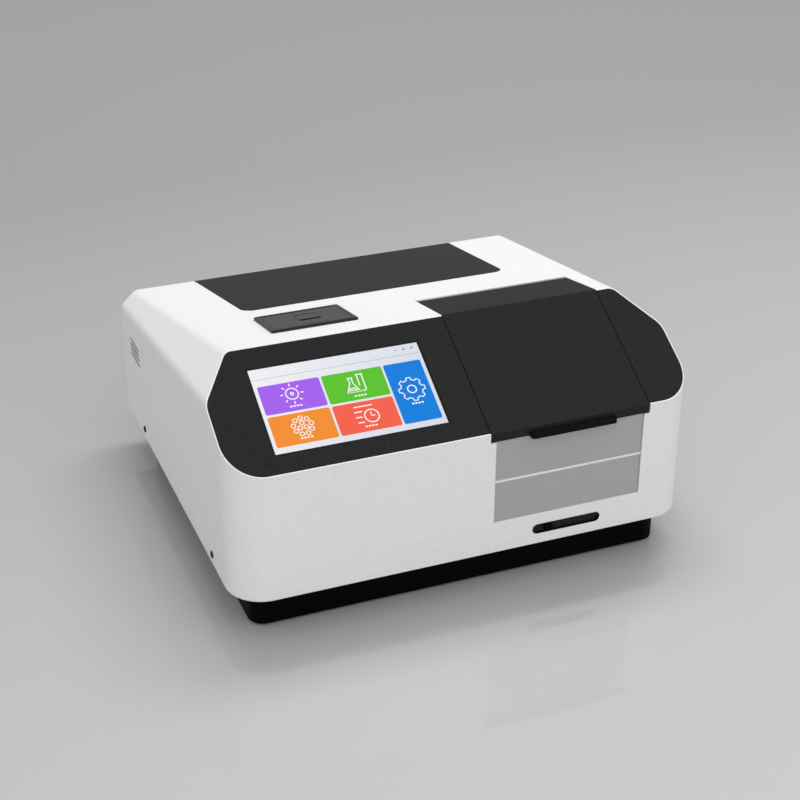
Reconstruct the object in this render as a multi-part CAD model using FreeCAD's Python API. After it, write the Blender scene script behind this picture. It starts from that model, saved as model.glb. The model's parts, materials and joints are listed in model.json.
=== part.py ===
import FreeCAD, Part
import math
import os

from FreeCAD import Placement, Rotation, Vector

# Bench water quality analyzer: a white casing on a black plinth, with a dark sloping front, a touch
# screen, a panel printer, and a lidded sample bay with a sliding cuvette holder.
# Millimetres. X runs to the right, Y to the back, Z up. The origin is on the bench, under the middle.

# Casing
CASE_WIDTH = 426.0
CASE_DEPTH = 381.0
CASE_LIFT = 38.0  # lower edge above the bench
FRONT_HEIGHT = 119.0  # heights are from the lower edge
RIDGE_HEIGHT = 181.8
REAR_HEIGHT = 126.6
SLOPE_RUN = 110.6  # level distance from the front wall to the ridge
CHAMFER_AT_RIDGE = 30.2
CHAMFER_AT_REAR = 14.7
CHAMFER_ROUND = 12.0
CORNER_RADIUS = 33.0
WALL = 2.0

# Clearances
FIT_GAP = 0.3  # between fixed pieces
RUNNING_GAP = 0.05  # between a shaft and its bore
OVERRUN = 3.0  # how far a cut runs past the face that it opens

# Base
BASE_THICKNESS = 2.0
BASE_FLANGE = 22.0
PLINTH_INSET = 18.0
PLINTH_WALL = 2.5
PLINTH_ROUND = 14.0
FOOT_HEIGHT = 3.0
FOOT_RADIUS = 12.0
FOOT_INSET = 22.0
FOOT_SCREW_RADIUS = 2.0
FOOT_SCREW_HEAD = 4.0
FOOT_SCREW_HEAD_HEIGHT = 1.2
FOOT_SCREW_LENGTH = 9.0

# Side screws and vent slits
SCREW_RADIUS = 1.5
SCREW_HEAD_RADIUS = 3.4
SCREW_HEAD_HEIGHT = 1.2
SCREW_LENGTH = 7.0
SIDE_SCREW_SETBACK = 71.3
SIDE_SCREW_HEIGHT = 10.0
VENT_SETBACK = 50.5
VENT_HEIGHT = 84.5
VENT_LENGTH = 36.0
VENT_PITCH = 5.2
VENT_SLIT = 2.2
VENT_COUNT = 4

# Dark plates of the sloping front
FASCIA_THICKNESS = 3.0
FASCIA_RIM = 1.0
LEDGE_THICKNESS = 2.0

# Touch screen, a 7 inch display: shares of the casing's width, and of the slope's length from the ridge
SCREEN_MIDDLE_SHARE = -0.21843
SCREEN_WIDTH_SHARE = 0.36174
SCREEN_DOWN_SHARE = 0.51107
SCREEN_HEIGHT_SHARE = 0.67539
MODULE_SIDE = 5.4  # how far the display reaches past its visible part
MODULE_END = 7.05
MODULE_THICKNESS = 5.7
DISPLAY_BRACKET_HEIGHT = 60.0
DISPLAY_BRACKET_LEG = 11.0
DISPLAY_BRACKET_THICKNESS = 1.5

# Lid of the sample bay, placed by shares of the casing's width
LID_MIDDLE_SHARE = 0.21268
LID_WIDTH_SHARE = 0.35305
LID_REACH = 61.3  # from the ridge to the lid's rear edge, along the top
LID_THICKNESS = 3.0
LID_GAP = 0.8
LID_REAR_GAP = 1.5
SKIRT_DROP = 7.8  # how far the lid hangs down the front wall
SIDE_LIP_DEPTH = 8.0
SIDE_LIP_THICKNESS = 2.5
PULL_SHARE = 0.54056  # of the lid's width
PULL_REACH = 7.5
PULL_THICKNESS = 4.0
PULL_ROUND = 3.0
PULL_COVE = 3.0
BARREL_RADIUS = 4.0
PIN_RADIUS = 1.5
BRACKET_WIDTH = 8.0
BRACKET_LENGTH = 14.0
BRACKET_DEPTH = 10.0

# Sample bay and the grey plates in front of it
BAY_MARGIN = 4.9  # from the lid's side to the bay's
BAY_WALL = 2.5
BAY_FLOOR_HEIGHT = 28.5
SEAL_THICKNESS = 2.0
PLATE_BOTTOM = 31.1
PLATE_RECESS = 1.2
PLATE_THICKNESS = 2.5
PLATE_GAP = 0.4
TRIM_HEIGHT = 70.9
TRIM_WIDTH = 2.0
TRIM_PROUD = 0.4

# Sample changer
LEVER_HEIGHT = 14.7
SLOT_RADIUS = 4.7
SLOT_SHARE = 0.40114  # of the bay's width
KNOB_SHARE = 0.19149  # of the slot, from its left end
KNOB_RADIUS = 4.3
KNOB_PROUD = 1.5
SHIELD_LAP = 0.9
SHIELD_HEIGHT = 14.0
SHIELD_THICKNESS = 1.5
LEVER_WIDTH = 8.0
LEVER_THICKNESS = 5.0
CUVETTE_WELL = 12.6
CUVETTE_PITCH = 15.0
CUVETTE_COUNT = 4
HOLDER_HEIGHT = 32.0
HOLDER_FLOOR = 3.0
HOLDER_CLEARANCE = 1.0
WINDOW_RADIUS = 3.0
BLOCK_LENGTH = 50.0
BLOCK_DEPTH = 38.0
BLOCK_HEIGHT = 14.0
POST_LENGTH = 30.0
POST_DEPTH = 8.0
POST_PLAY = 1.0
ROD_RADIUS = 3.0
ROD_SPACING = 24.0
SUPPORT_THICKNESS = 6.0

# Light path
BEAM_RISE = 14.0  # above the bay's floor
BEAM_RADIUS = 5.0
DETECTOR_WIDTH = 40.0
DETECTOR_DEPTH = 20.0
DETECTOR_HEIGHT = 30.0
DIODE_HOLE_DEPTH = 12.0
DIODE_LENGTH = 8.0
BENCH_THICKNESS = 6.0
BENCH_MARGIN = 6.0  # past the lamp
BENCH_LEFT = 32.0  # from the beam
BENCH_RIGHT = 48.0
BENCH_SETBACK = 6.0  # from the bay's rear wall
LENS_MOUNT_WIDTH = 28.0
LENS_MOUNT_DEPTH = 20.0
LENS_MOUNT_SETBACK = 6.0
LENS_RADIUS = 9.0
LENS_THICKNESS = 6.0
WHEEL_SETBACK = 36.0
WHEEL_RADIUS = 32.0
WHEEL_THICKNESS = 4.0
FILTER_CIRCLE = 24.0
FILTER_RADIUS = 5.5
FILTER_THICKNESS = 3.0
FILTER_COUNT = 8
MOTOR_SIZE = 28.0
MOTOR_LENGTH = 30.0
MOTOR_SHAFT_RADIUS = 2.5
MOTOR_PLATE_THICKNESS = 3.0
MOTOR_PLATE_GAP = 4.0
MOTOR_PLATE_MARGIN = 4.0
LAMP_GAP = 6.0  # behind the motor
LAMP_WIDTH = 44.0
LAMP_DEPTH = 46.0
LAMP_HEIGHT = 70.0
LAMP_WALL = 2.5
LAMP_SOCKET_RADIUS = 8.0
LAMP_SOCKET_HEIGHT = 17.0
BULB_RADIUS = 8.0
BULB_NECK_RADIUS = 5.0

# Electronics
BOARD_MIDDLE_SHARE = -0.25822  # of the casing's width
BOARD_WIDTH_SHARE = 0.37559
BOARD_SETBACK = 101.75  # from the front wall to the board's middle
BOARD_DEPTH = 110.0
BOARD_THICKNESS = 1.6
BOARD_LIFT = 10.0
BOARD_HOLE_INSET = 6.0
STANDOFF_RADIUS = 3.0
CHIP_HEIGHT = 6.0
# Left, right, front and rear edge of each block on the board, across the board's width and depth
CHIP_SHARES = ((0.30, 0.50, 0.35, 0.65), (0.08, 0.24, 0.20, 0.34), (0.08, 0.24, 0.60, 0.82),
               (0.62, 0.92, 0.86, 0.97), (0.66, 0.78, 0.20, 0.50))
SUPPLY_MIDDLE_SHARE = -0.23474
SUPPLY_SETBACK = 119.25  # from the back to its middle
SUPPLY_WIDTH = 110.0
SUPPLY_DEPTH = 70.0
SUPPLY_HEIGHT = 38.0
FAN_SIZE = 40.0
FAN_DEPTH = 10.0
FAN_ROUND = 3.0
FAN_BORE_RADIUS = 18.5
FAN_HUB_RADIUS = 9.0
FAN_HUB_WALL = 2.0
FAN_SPOKE = 2.0
FAN_SHAFT_RADIUS = 1.0
FAN_BLADE_COUNT = 7
FAN_BLADE_GAP = 1.0
FAN_BLADE_THICKNESS = 1.0
FAN_BLADE_PITCH_DEG = 35.0

# Back
REAR_RECESS = 5.0
PANEL_THICKNESS = 2.0
PORT_HEIGHT = 45.0
INLET_SHARE = 0.35211  # places on the back are shares of the casing's width
INLET_WIDTH = 27.0
INLET_HEIGHT = 20.0
INLET_DEPTH = 18.0
INLET_WALL = 2.5
INLET_PRONG_RADIUS = 1.2
INLET_PRONG_SPACING = 7.0
SWITCH_SHARE = 0.25822
SWITCH_WIDTH = 15.4
SWITCH_HEIGHT = 21.6
SWITCH_DEPTH = 12.0
SWITCH_WALL = 1.2
ROCKER_TILT_DEG = 9.0
ROCKER_PROUD = 3.2
ROCKER_DIP = 1.7
ROCKER_DEPTH = 4.0
ROCKER_PIVOT_RADIUS = 1.0
ROCKER_PIVOT_LENGTH = 0.8
PORT_FLANGE = 3.0
PORT_FLANGE_THICKNESS = 1.5
PORT_WALL = 0.8
PORT_DEPTH = 14.0
USB_SHARE = -0.25822
USB_PITCH = 24.0
USB_WIDTH = 14.6
USB_HEIGHT = 7.0
USB_COUNT = 2
SERIAL_SHARE = -0.38732
SERIAL_WIDTH = 19.0
SERIAL_HEIGHT = 10.0
SERIAL_PROUD = 4.5
PANEL_SCREW_SHARE = 0.37559
PANEL_SCREW_COUNT = 3

# Dark cover on the back half of the top
COVER_THICKNESS = 1.2
COVER_FRONT_SHARE = 0.61268  # of the casing's width
COVER_REAR_SHARE = 0.64554
COVER_SETBACK = 120.9  # from the ridge to the cover's front edge, along the top
COVER_ROUND = 12.0
COVER_LAP = 14.0
COVER_HOLE_ROUND = 5.0
COVER_FLANGE = 24.0
COVER_FLANGE_THICKNESS = 1.5
COVER_SCREW_SHARE = 0.42254

# Panel printer for paper 58 mm wide
PRINTER_MIDDLE_SHARE = -0.21538  # of the casing's width
PRINTER_SETBACK = 58.2  # from the ridge to its middle, along the top
PRINTER_WIDTH = 80.1
PRINTER_LENGTH = 57.4
PRINTER_RISE = 2.6
PRINTER_ROUND = 2.0
PRINTER_BEVEL = 1.0
PRINTER_LAP = 2.5
BUCKET_WALL = 1.6
BUCKET_DEPTH = 46.0
DOOR_THICKNESS = 2.0
DOOR_GAP = 0.4
DOOR_BARREL = 2.2
DOOR_PIN_RADIUS = 0.9
TAB_X = 1.85  # from the printer's middle
TAB_WIDTH = 20.0
TAB_LENGTH = 21.0
TAB_SLOT = 4.4
TAB_THICKNESS = 1.6
TAB_BARREL = 1.0
TAB_PIVOT_RADIUS = 0.6
TAB_PIVOT_LENGTH = 1.2
PLATEN_RADIUS = 4.0
PLATEN_SHAFT_RADIUS = 1.5
PLATEN_LENGTH = 57.5
PLATEN_SETBACK = 7.0  # from the door's front edge
PLATEN_DROP = 1.0
EAR_THICKNESS = 2.5
EAR_MARGIN = 2.0
PAPER_WIDTH = 57.5
PAPER_RADIUS = 15.0
PAPER_CORE_RADIUS = 6.0
PAPER_SETBACK = 4.0
HEAD_THICKNESS = 2.6
HEAD_HEIGHT = 15.0
HEAD_DROP = 1.0

# Places that follow from these sizes
X_AXIS = Vector(1, 0, 0)
Y_AXIS = Vector(0, 1, 0)
Z_AXIS = Vector(0, 0, 1)
FRONT_Y = (PULL_REACH - CASE_DEPTH) / 2
REAR_Y = FRONT_Y + CASE_DEPTH
HALF_WIDTH = CASE_WIDTH / 2
RIDGE = Vector(0, FRONT_Y + SLOPE_RUN, CASE_LIFT + RIDGE_HEIGHT)
REAR_Z = CASE_LIFT + REAR_HEIGHT
SLOPE_DEG = math.degrees(math.atan2(RIDGE_HEIGHT - FRONT_HEIGHT, SLOPE_RUN))
TOP_DEG = math.degrees(math.atan2(RIDGE_HEIGHT - REAR_HEIGHT, CASE_DEPTH - SLOPE_RUN))
ON_SLOPE = Placement(RIDGE, Rotation(X_AXIS, SLOPE_DEG))
ON_TOP = Placement(RIDGE, Rotation(X_AXIS, -TOP_DEG))
SLOPE_NORMAL = ON_SLOPE.Rotation.multVec(Z_AXIS)
TOP_NORMAL = ON_TOP.Rotation.multVec(Z_AXIS)
SLOPE_LENGTH = math.hypot(SLOPE_RUN, RIDGE_HEIGHT - FRONT_HEIGHT)
SPAN = CASE_WIDTH + CASE_DEPTH  # larger than the casing, for cutting blocks

BASE_TOP = CASE_LIFT + BASE_THICKNESS
PANEL_BACK_Y = REAR_Y - REAR_RECESS
PANEL_FRONT_Y = PANEL_BACK_Y - PANEL_THICKNESS
PORT_Z = CASE_LIFT + PORT_HEIGHT
INLET_X = CASE_WIDTH * INLET_SHARE
SWITCH_X = CASE_WIDTH * SWITCH_SHARE
USB_X = CASE_WIDTH * USB_SHARE
SERIAL_X = CASE_WIDTH * SERIAL_SHARE
PANEL_SCREW_SPACING = CASE_WIDTH * PANEL_SCREW_SHARE
COVER_SCREW_SPACING = CASE_WIDTH * COVER_SCREW_SHARE
COVER_FRONT_WIDTH = CASE_WIDTH * COVER_FRONT_SHARE
COVER_REAR_WIDTH = CASE_WIDTH * COVER_REAR_SHARE

SCREEN_X = CASE_WIDTH * SCREEN_MIDDLE_SHARE
SCREEN_WIDTH = CASE_WIDTH * SCREEN_WIDTH_SHARE
SCREEN_DOWN = SLOPE_LENGTH * SCREEN_DOWN_SHARE
SCREEN_HEIGHT = SLOPE_LENGTH * SCREEN_HEIGHT_SHARE
MODULE_WIDTH = SCREEN_WIDTH + 2 * MODULE_SIDE
MODULE_HEIGHT = SCREEN_HEIGHT + 2 * MODULE_END

LID_X = CASE_WIDTH * LID_MIDDLE_SHARE
LID_WIDTH = CASE_WIDTH * LID_WIDTH_SHARE
LID_LEFT = LID_X - LID_WIDTH / 2
LID_RIGHT = LID_X + LID_WIDTH / 2
SKIRT_Z = CASE_LIFT + FRONT_HEIGHT - SKIRT_DROP
HINGE_AXIS = ON_TOP.multVec(Vector(0, LID_REACH - BARREL_RADIUS, -BARREL_RADIUS))

BAY_LEFT = LID_LEFT + BAY_MARGIN
BAY_RIGHT = LID_RIGHT - BAY_MARGIN
BAY_FRONT_Y = FRONT_Y + PLATE_RECESS + PLATE_THICKNESS
BAY_REAR_Y = HINGE_AXIS.y - BARREL_RADIUS - LID_REAR_GAP
BAY_FLOOR_Z = CASE_LIFT + BAY_FLOOR_HEIGHT

LEVER_Z = CASE_LIFT + LEVER_HEIGHT
SLOT_TRAVEL = (BAY_RIGHT - BAY_LEFT) * SLOT_SHARE
TRAVEL_LEFT = SLOT_TRAVEL * KNOB_SHARE
TRAVEL_RIGHT = SLOT_TRAVEL - TRAVEL_LEFT
KNOB_X = LID_X - SLOT_TRAVEL / 2 + TRAVEL_LEFT
SHIELD_LENGTH = 2 * (SLOT_TRAVEL + SLOT_RADIUS + SHIELD_LAP)
SHIELD_Y = FRONT_Y + WALL + FIT_GAP
HOLDER_X = LID_X - CUVETTE_PITCH * (CUVETTE_COUNT - 1) / 2
HOLDER_Y = (BAY_FRONT_Y + BAY_REAR_Y) / 2
HOLDER_Z = BAY_FLOOR_Z + HOLDER_CLEARANCE
HOLDER_WALL = CUVETTE_PITCH - CUVETTE_WELL

BEAM_Z = BAY_FLOOR_Z + BEAM_RISE
BENCH_TOP = BASE_TOP + BENCH_THICKNESS
BENCH_Y = BAY_REAR_Y + BENCH_SETBACK
WHEEL_X = LID_X + FILTER_CIRCLE
WHEEL_Y = BENCH_Y + WHEEL_SETBACK
MOTOR_PLATE_Y = WHEEL_Y + WHEEL_THICKNESS + MOTOR_PLATE_GAP
MOTOR_Y = MOTOR_PLATE_Y + MOTOR_PLATE_THICKNESS
LAMP_Y = MOTOR_Y + MOTOR_LENGTH + LAMP_GAP
BENCH_REAR_Y = LAMP_Y + LAMP_DEPTH + BENCH_MARGIN

BOARD_X = CASE_WIDTH * BOARD_MIDDLE_SHARE
BOARD_Y = FRONT_Y + BOARD_SETBACK
BOARD_Z = BASE_TOP + BOARD_LIFT
BOARD_WIDTH = CASE_WIDTH * BOARD_WIDTH_SHARE
SUPPLY_X = CASE_WIDTH * SUPPLY_MIDDLE_SHARE
SUPPLY_Y = REAR_Y - SUPPLY_SETBACK
FAN_Y = REAR_Y - VENT_SETBACK
FAN_Z = CASE_LIFT + VENT_HEIGHT
FAN_X = -HALF_WIDTH + WALL

PRINTER_X = CASE_WIDTH * PRINTER_MIDDLE_SHARE
ON_PRINTER = ON_TOP.multiply(Placement(Vector(PRINTER_X, PRINTER_SETBACK, 0), Rotation()))
BUCKET_WIDTH = PRINTER_WIDTH - 2 * PRINTER_LAP
BUCKET_LENGTH = PRINTER_LENGTH - 2 * PRINTER_LAP
DOOR_WIDTH = BUCKET_WIDTH - 2 * BUCKET_WALL - 2 * DOOR_GAP
DOOR_LENGTH = BUCKET_LENGTH - 2 * BUCKET_WALL - 2 * DOOR_GAP
DOOR_PIN_Y = DOOR_LENGTH / 2 - DOOR_BARREL
DOOR_PIN_Z = PRINTER_RISE - DOOR_BARREL
TAB_PIVOT_Y = TAB_LENGTH / 2 - TAB_BARREL - DOOR_GAP
TAB_PIVOT_Z = PRINTER_RISE - TAB_BARREL
PLATEN_Y = PLATEN_SETBACK - DOOR_LENGTH / 2
PLATEN_Z = PRINTER_RISE - DOOR_THICKNESS - PLATEN_DROP - PLATEN_RADIUS
PAPER_Z = BUCKET_WALL - BUCKET_DEPTH + PAPER_RADIUS + FIT_GAP


def block(x0, x1, y0, y1, z0, z1):
    """A box between two corners."""
    return Part.makeBox(x1 - x0, y1 - y0, z1 - z0, Vector(x0, y0, z0))


def round_block(x0, x1, y0, y1, z0, z1, radius):
    """A box with its four upright edges rounded."""
    plain = block(x0, x1, y0, y1, z0, z1)
    upright = [edge for edge in plain.Edges if edge.BoundBox.ZLength > (z1 - z0) / 2]
    return plain.makeFillet(radius, upright)


def prism(points, x0, x1):
    """A solid with an outline in the upright plane along Y, from x0 to x1."""
    corners = [Vector(x0, point.y, point.z) for point in points]
    return Part.Face(Part.makePolygon(corners + corners[:1])).extrude(Vector(x1 - x0, 0, 0))


def along_x(radius, x0, x1, y, z):
    return Part.makeCylinder(radius, x1 - x0, Vector(x0, y, z), X_AXIS)


def along_y(radius, x, y0, y1, z):
    return Part.makeCylinder(radius, y1 - y0, Vector(x, y0, z), Y_AXIS)


def along_z(radius, x, y, z0, z1):
    return Part.makeCylinder(radius, z1 - z0, Vector(x, y, z0), Z_AXIS)


def placed(shape, frame):
    """The shape moved from a local frame to the part's frame."""
    shape.Placement = frame.multiply(shape.Placement)
    return shape


def joined(shapes):
    return shapes[0].fuse(shapes[1:]).removeSplitter()


def slope_block(x0, x1, down0, down1, out0, out1):
    """A box on the slope: distances down from the ridge and out from the surface."""
    return placed(block(x0, x1, -down1, -down0, out0, out1), ON_SLOPE)


def top_block(x0, x1, back0, back1, out0, out1):
    """A box on the top: distances back from the ridge and out from the surface."""
    return placed(block(x0, x1, back0, back1, out0, out1), ON_TOP)


def beyond(point, normal):
    """Everything on the outer side of a plane."""
    side = Part.makeBox(SPAN, SPAN, SPAN, Vector(-SPAN / 2, -SPAN / 2, 0))
    return placed(side, Placement(point, Rotation(Z_AXIS, normal)))


def casing_body(inset, slope_inset, rear_y, floor_z):
    """The casing's form drawn in by inset, between a floor and a rear plane."""
    half = HALF_WIDTH - inset
    front = FRONT_Y + inset
    top = RIDGE.z + SLOPE_RUN
    body = block(-half, half, front, rear_y, floor_z, top)
    body = body.cut(beyond(RIDGE - TOP_NORMAL * inset, TOP_NORMAL))
    for side in (-1, 1):
        foot = Vector(side * HALF_WIDTH, RIDGE.y, RIDGE.z - CHAMFER_AT_RIDGE)
        along = Vector(side * HALF_WIDTH, REAR_Y, REAR_Z - CHAMFER_AT_REAR) - foot
        across = Vector(-side * CHAMFER_AT_RIDGE, 0, CHAMFER_AT_RIDGE)
        normal = (along.cross(across) * side).normalize()
        body = body.cut(beyond(foot - normal * inset, normal))
    middle = CASE_LIFT + FRONT_HEIGHT / 2
    long_edges = [edge for edge in body.Edges
                  if edge.BoundBox.YLength > SLOPE_RUN and edge.CenterOfMass.z > middle]
    body = body.makeFillet(CHAMFER_ROUND - inset, long_edges)
    plan = block(-half, half, front, rear_y, floor_z, top)
    corners = [edge for edge in plan.Edges
               if edge.BoundBox.ZLength > FRONT_HEIGHT and edge.CenterOfMass.y < RIDGE.y]
    body = body.common(plan.makeFillet(CORNER_RADIUS - inset, corners))
    return body.cut(beyond(RIDGE - SLOPE_NORMAL * slope_inset, SLOPE_NORMAL))


def side_screw_places():
    """Middles of the four side screws: which side, and how far back."""
    return [(side, y) for side in (-1, 1)
            for y in (FRONT_Y + SIDE_SCREW_SETBACK, REAR_Y - SIDE_SCREW_SETBACK)]


def panel_screw_places():
    """Middles of the screws in the rear panel, left to right along its foot and under the cover."""
    low = CASE_LIFT + (BASE_THICKNESS + BASE_FLANGE) / 2
    places = []
    for step in range(PANEL_SCREW_COUNT):
        places.append(Vector((step - (PANEL_SCREW_COUNT - 1) / 2) * PANEL_SCREW_SPACING, 0, low))
    return places


def cover_screw_places():
    """Middles of the screws in the cover's rear flange."""
    high = REAR_Z - COVER_FLANGE / 2
    return [Vector(side * COVER_SCREW_SPACING / 2, 0, high) for side in (-1, 1)]


def fascia_plate(inset, low, high):
    """A plate over the whole sloping front, drawn in by inset, between two depths."""
    body = casing_body(inset, -OVERRUN, REAR_Y, CASE_LIFT)
    return body.common(slope_block(-HALF_WIDTH, HALF_WIDTH, -SLOPE_LENGTH, 2 * SLOPE_LENGTH, low, high))


def screen_window(grow, low, high):
    """A block with the screen's outline, grown on every side."""
    wide = SCREEN_WIDTH / 2 + grow
    tall = SCREEN_HEIGHT / 2 + grow
    return slope_block(SCREEN_X - wide, SCREEN_X + wide, SCREEN_DOWN - tall, SCREEN_DOWN + tall, low, high)


def display_block(wide, tall, low, high):
    """A block behind the screen, centred on it."""
    return slope_block(SCREEN_X - wide / 2, SCREEN_X + wide / 2,
                       SCREEN_DOWN - tall / 2, SCREEN_DOWN + tall / 2, low, high)


def lid_notch():
    """The opening that the lid fills, over the front edge, the slope and the top."""
    low = SKIRT_Z - LID_GAP
    back = LID_REACH + LID_REAR_GAP
    upper = ON_TOP.multVec(Vector(0, back, OVERRUN))
    lower = ON_TOP.multVec(Vector(0, back, -WALL - OVERRUN))
    outline = [Vector(0, FRONT_Y - OVERRUN, low), Vector(0, FRONT_Y - OVERRUN, RIDGE.z + OVERRUN),
               Vector(0, upper.y, RIDGE.z + OVERRUN), upper, lower, Vector(0, lower.y, low)]
    return prism(outline, LID_LEFT - LID_GAP, LID_RIGHT + LID_GAP)


def cover_plate(grow, radius, low, high):
    """The outline of the dark rear cover on the top, grown on its front and sides."""
    front = COVER_SETBACK - grow
    rear = math.hypot(CASE_DEPTH - SLOPE_RUN, RIDGE_HEIGHT - REAR_HEIGHT) + OVERRUN
    front_half = COVER_FRONT_WIDTH / 2 + grow
    rear_half = COVER_REAR_WIDTH / 2 + grow
    corners = [Vector(-front_half, front, low), Vector(front_half, front, low),
               Vector(rear_half, rear, low), Vector(-rear_half, rear, low)]
    plate = Part.Face(Part.makePolygon(corners + corners[:1])).extrude(Vector(0, 0, high - low))
    front_edges = [edge for edge in plate.Edges
                   if edge.BoundBox.ZLength > (high - low) / 2 and edge.CenterOfMass.y < front + COVER_LAP]
    return placed(plate.makeFillet(radius, front_edges), ON_TOP)


def cover_openings():
    """A shallow seat for the rear cover, the hole that it closes, and a notch for its flange."""
    seat = cover_plate(FIT_GAP, COVER_ROUND + FIT_GAP, -COVER_THICKNESS, OVERRUN)
    hole = cover_plate(-COVER_LAP, COVER_HOLE_ROUND, -WALL - OVERRUN, OVERRUN)
    half = COVER_REAR_WIDTH / 2 + FIT_GAP
    flange_y = PANEL_BACK_Y - FIT_GAP
    notch = block(-half, half, flange_y, REAR_Y + OVERRUN, REAR_Z - COVER_FLANGE, RIDGE.z)
    return [seat, hole, notch]


def lever_slot():
    """The long round-ended slot for the knob."""
    y0 = FRONT_Y - OVERRUN
    y1 = FRONT_Y + WALL + OVERRUN
    left = LID_X - SLOT_TRAVEL / 2
    right = LID_X + SLOT_TRAVEL / 2
    return joined([block(left, right, y0, y1, LEVER_Z - SLOT_RADIUS, LEVER_Z + SLOT_RADIUS),
                   along_y(SLOT_RADIUS, left, y0, y1, LEVER_Z),
                   along_y(SLOT_RADIUS, right, y0, y1, LEVER_Z)])


def vent_slits():
    """Level slits in the left wall, in front of the fan."""
    slits = []
    for step in range(VENT_COUNT):
        middle = FAN_Z + (step - (VENT_COUNT - 1) / 2) * VENT_PITCH
        slits.append(block(-HALF_WIDTH - OVERRUN, -HALF_WIDTH + WALL + OVERRUN,
                           FAN_Y - VENT_LENGTH / 2, FAN_Y + VENT_LENGTH / 2,
                           middle - VENT_SLIT / 2, middle + VENT_SLIT / 2))
    return slits


def side_screw_holes():
    """Holes through the side walls and the base plate's flanges."""
    z = CASE_LIFT + SIDE_SCREW_HEIGHT
    holes = []
    for side, y in side_screw_places():
        ends = sorted((side * (HALF_WIDTH + OVERRUN), side * (HALF_WIDTH - SCREW_LENGTH - OVERRUN)))
        holes.append(along_x(SCREW_RADIUS + RUNNING_GAP, ends[0], ends[1], y, z))
    return holes


def outer_shell():
    """The white casing, open at the back and underneath."""
    hollow = casing_body(WALL, FASCIA_THICKNESS + LEDGE_THICKNESS, REAR_Y + OVERRUN, CASE_LIFT - OVERRUN)
    shell = casing_body(0, 0, REAR_Y, CASE_LIFT).cut(hollow)
    cuts = [fascia_plate(FASCIA_RIM, -FASCIA_THICKNESS, OVERRUN), lid_notch(), lever_slot()]
    cuts.append(display_block(MODULE_WIDTH + 2 * FIT_GAP, MODULE_HEIGHT + 2 * FIT_GAP,
                              -FASCIA_THICKNESS - LEDGE_THICKNESS - OVERRUN, OVERRUN))
    cuts.append(block(BAY_LEFT - PLATE_GAP, BAY_RIGHT + PLATE_GAP, FRONT_Y - OVERRUN,
                      FRONT_Y + WALL + OVERRUN, CASE_LIFT + PLATE_BOTTOM - PLATE_GAP, SKIRT_Z))
    wide = BUCKET_WIDTH / 2 + FIT_GAP
    long = BUCKET_LENGTH / 2 + FIT_GAP
    cuts.append(placed(block(-wide, wide, -long, long, -WALL - OVERRUN, OVERRUN), ON_PRINTER))
    cuts += cover_openings() + vent_slits() + side_screw_holes()
    return shell.cut(cuts)


def base_plate():
    """The steel plate that closes the casing, with flanges up its sides and back."""
    inner = WALL + FIT_GAP
    top = BASE_TOP + BASE_FLANGE
    outline = casing_body(inner, 0, PANEL_FRONT_Y, CASE_LIFT)
    hollow = casing_body(inner + BASE_THICKNESS, 0, PANEL_FRONT_Y - BASE_THICKNESS, CASE_LIFT)
    floor = outline.common(block(-SPAN, SPAN, -SPAN, SPAN, CASE_LIFT, BASE_TOP))
    walls = outline.cut(hollow)
    walls = walls.common(block(-SPAN, SPAN, FRONT_Y + CORNER_RADIUS, SPAN, CASE_LIFT, top))
    plate = joined([floor, walls])
    return plate.cut(side_screw_holes() + rear_screw_holes())


def plinth():
    """The black tray under the casing, open at the top."""
    half = HALF_WIDTH - PLINTH_INSET
    front = FRONT_Y + PLINTH_INSET
    rear = REAR_Y - PLINTH_INSET
    tray = round_block(-half, half, front, rear, FOOT_HEIGHT, CASE_LIFT, PLINTH_ROUND)
    hollow = round_block(-half + PLINTH_WALL, half - PLINTH_WALL, front + PLINTH_WALL, rear - PLINTH_WALL,
                         FOOT_HEIGHT + PLINTH_WALL, CASE_LIFT + OVERRUN, PLINTH_ROUND - PLINTH_WALL)
    holes = [along_z(FOOT_SCREW_RADIUS + RUNNING_GAP, x, y, 0, CASE_LIFT) for x, y in foot_places()]
    return tray.cut([hollow] + holes)


def foot_places():
    """Middles of the four feet."""
    inset = PLINTH_INSET + FOOT_INSET
    return [(x, y) for x in (inset - HALF_WIDTH, HALF_WIDTH - inset)
            for y in (FRONT_Y + inset, REAR_Y - inset)]


def rubber_feet():
    """Four round feet, each with a sunk hole for its screw."""
    feet = []
    sink = FOOT_HEIGHT / 2
    for x, y in foot_places():
        foot = along_z(FOOT_RADIUS, x, y, 0, FOOT_HEIGHT)
        foot = foot.cut([along_z(FOOT_SCREW_HEAD + FIT_GAP, x, y, -OVERRUN, sink),
                         along_z(FOOT_SCREW_RADIUS + RUNNING_GAP, x, y, 0, FOOT_HEIGHT + OVERRUN)])
        feet.append(foot)
    return Part.makeCompound(feet)


def foot_screws():
    """The screws that hold the feet to the plinth."""
    screws = []
    sink = FOOT_HEIGHT / 2
    for x, y in foot_places():
        head = along_z(FOOT_SCREW_HEAD, x, y, sink - FOOT_SCREW_HEAD_HEIGHT, sink)
        screws.append(joined([head, along_z(FOOT_SCREW_RADIUS, x, y, sink, sink + FOOT_SCREW_LENGTH)]))
    return Part.makeCompound(screws)


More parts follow.
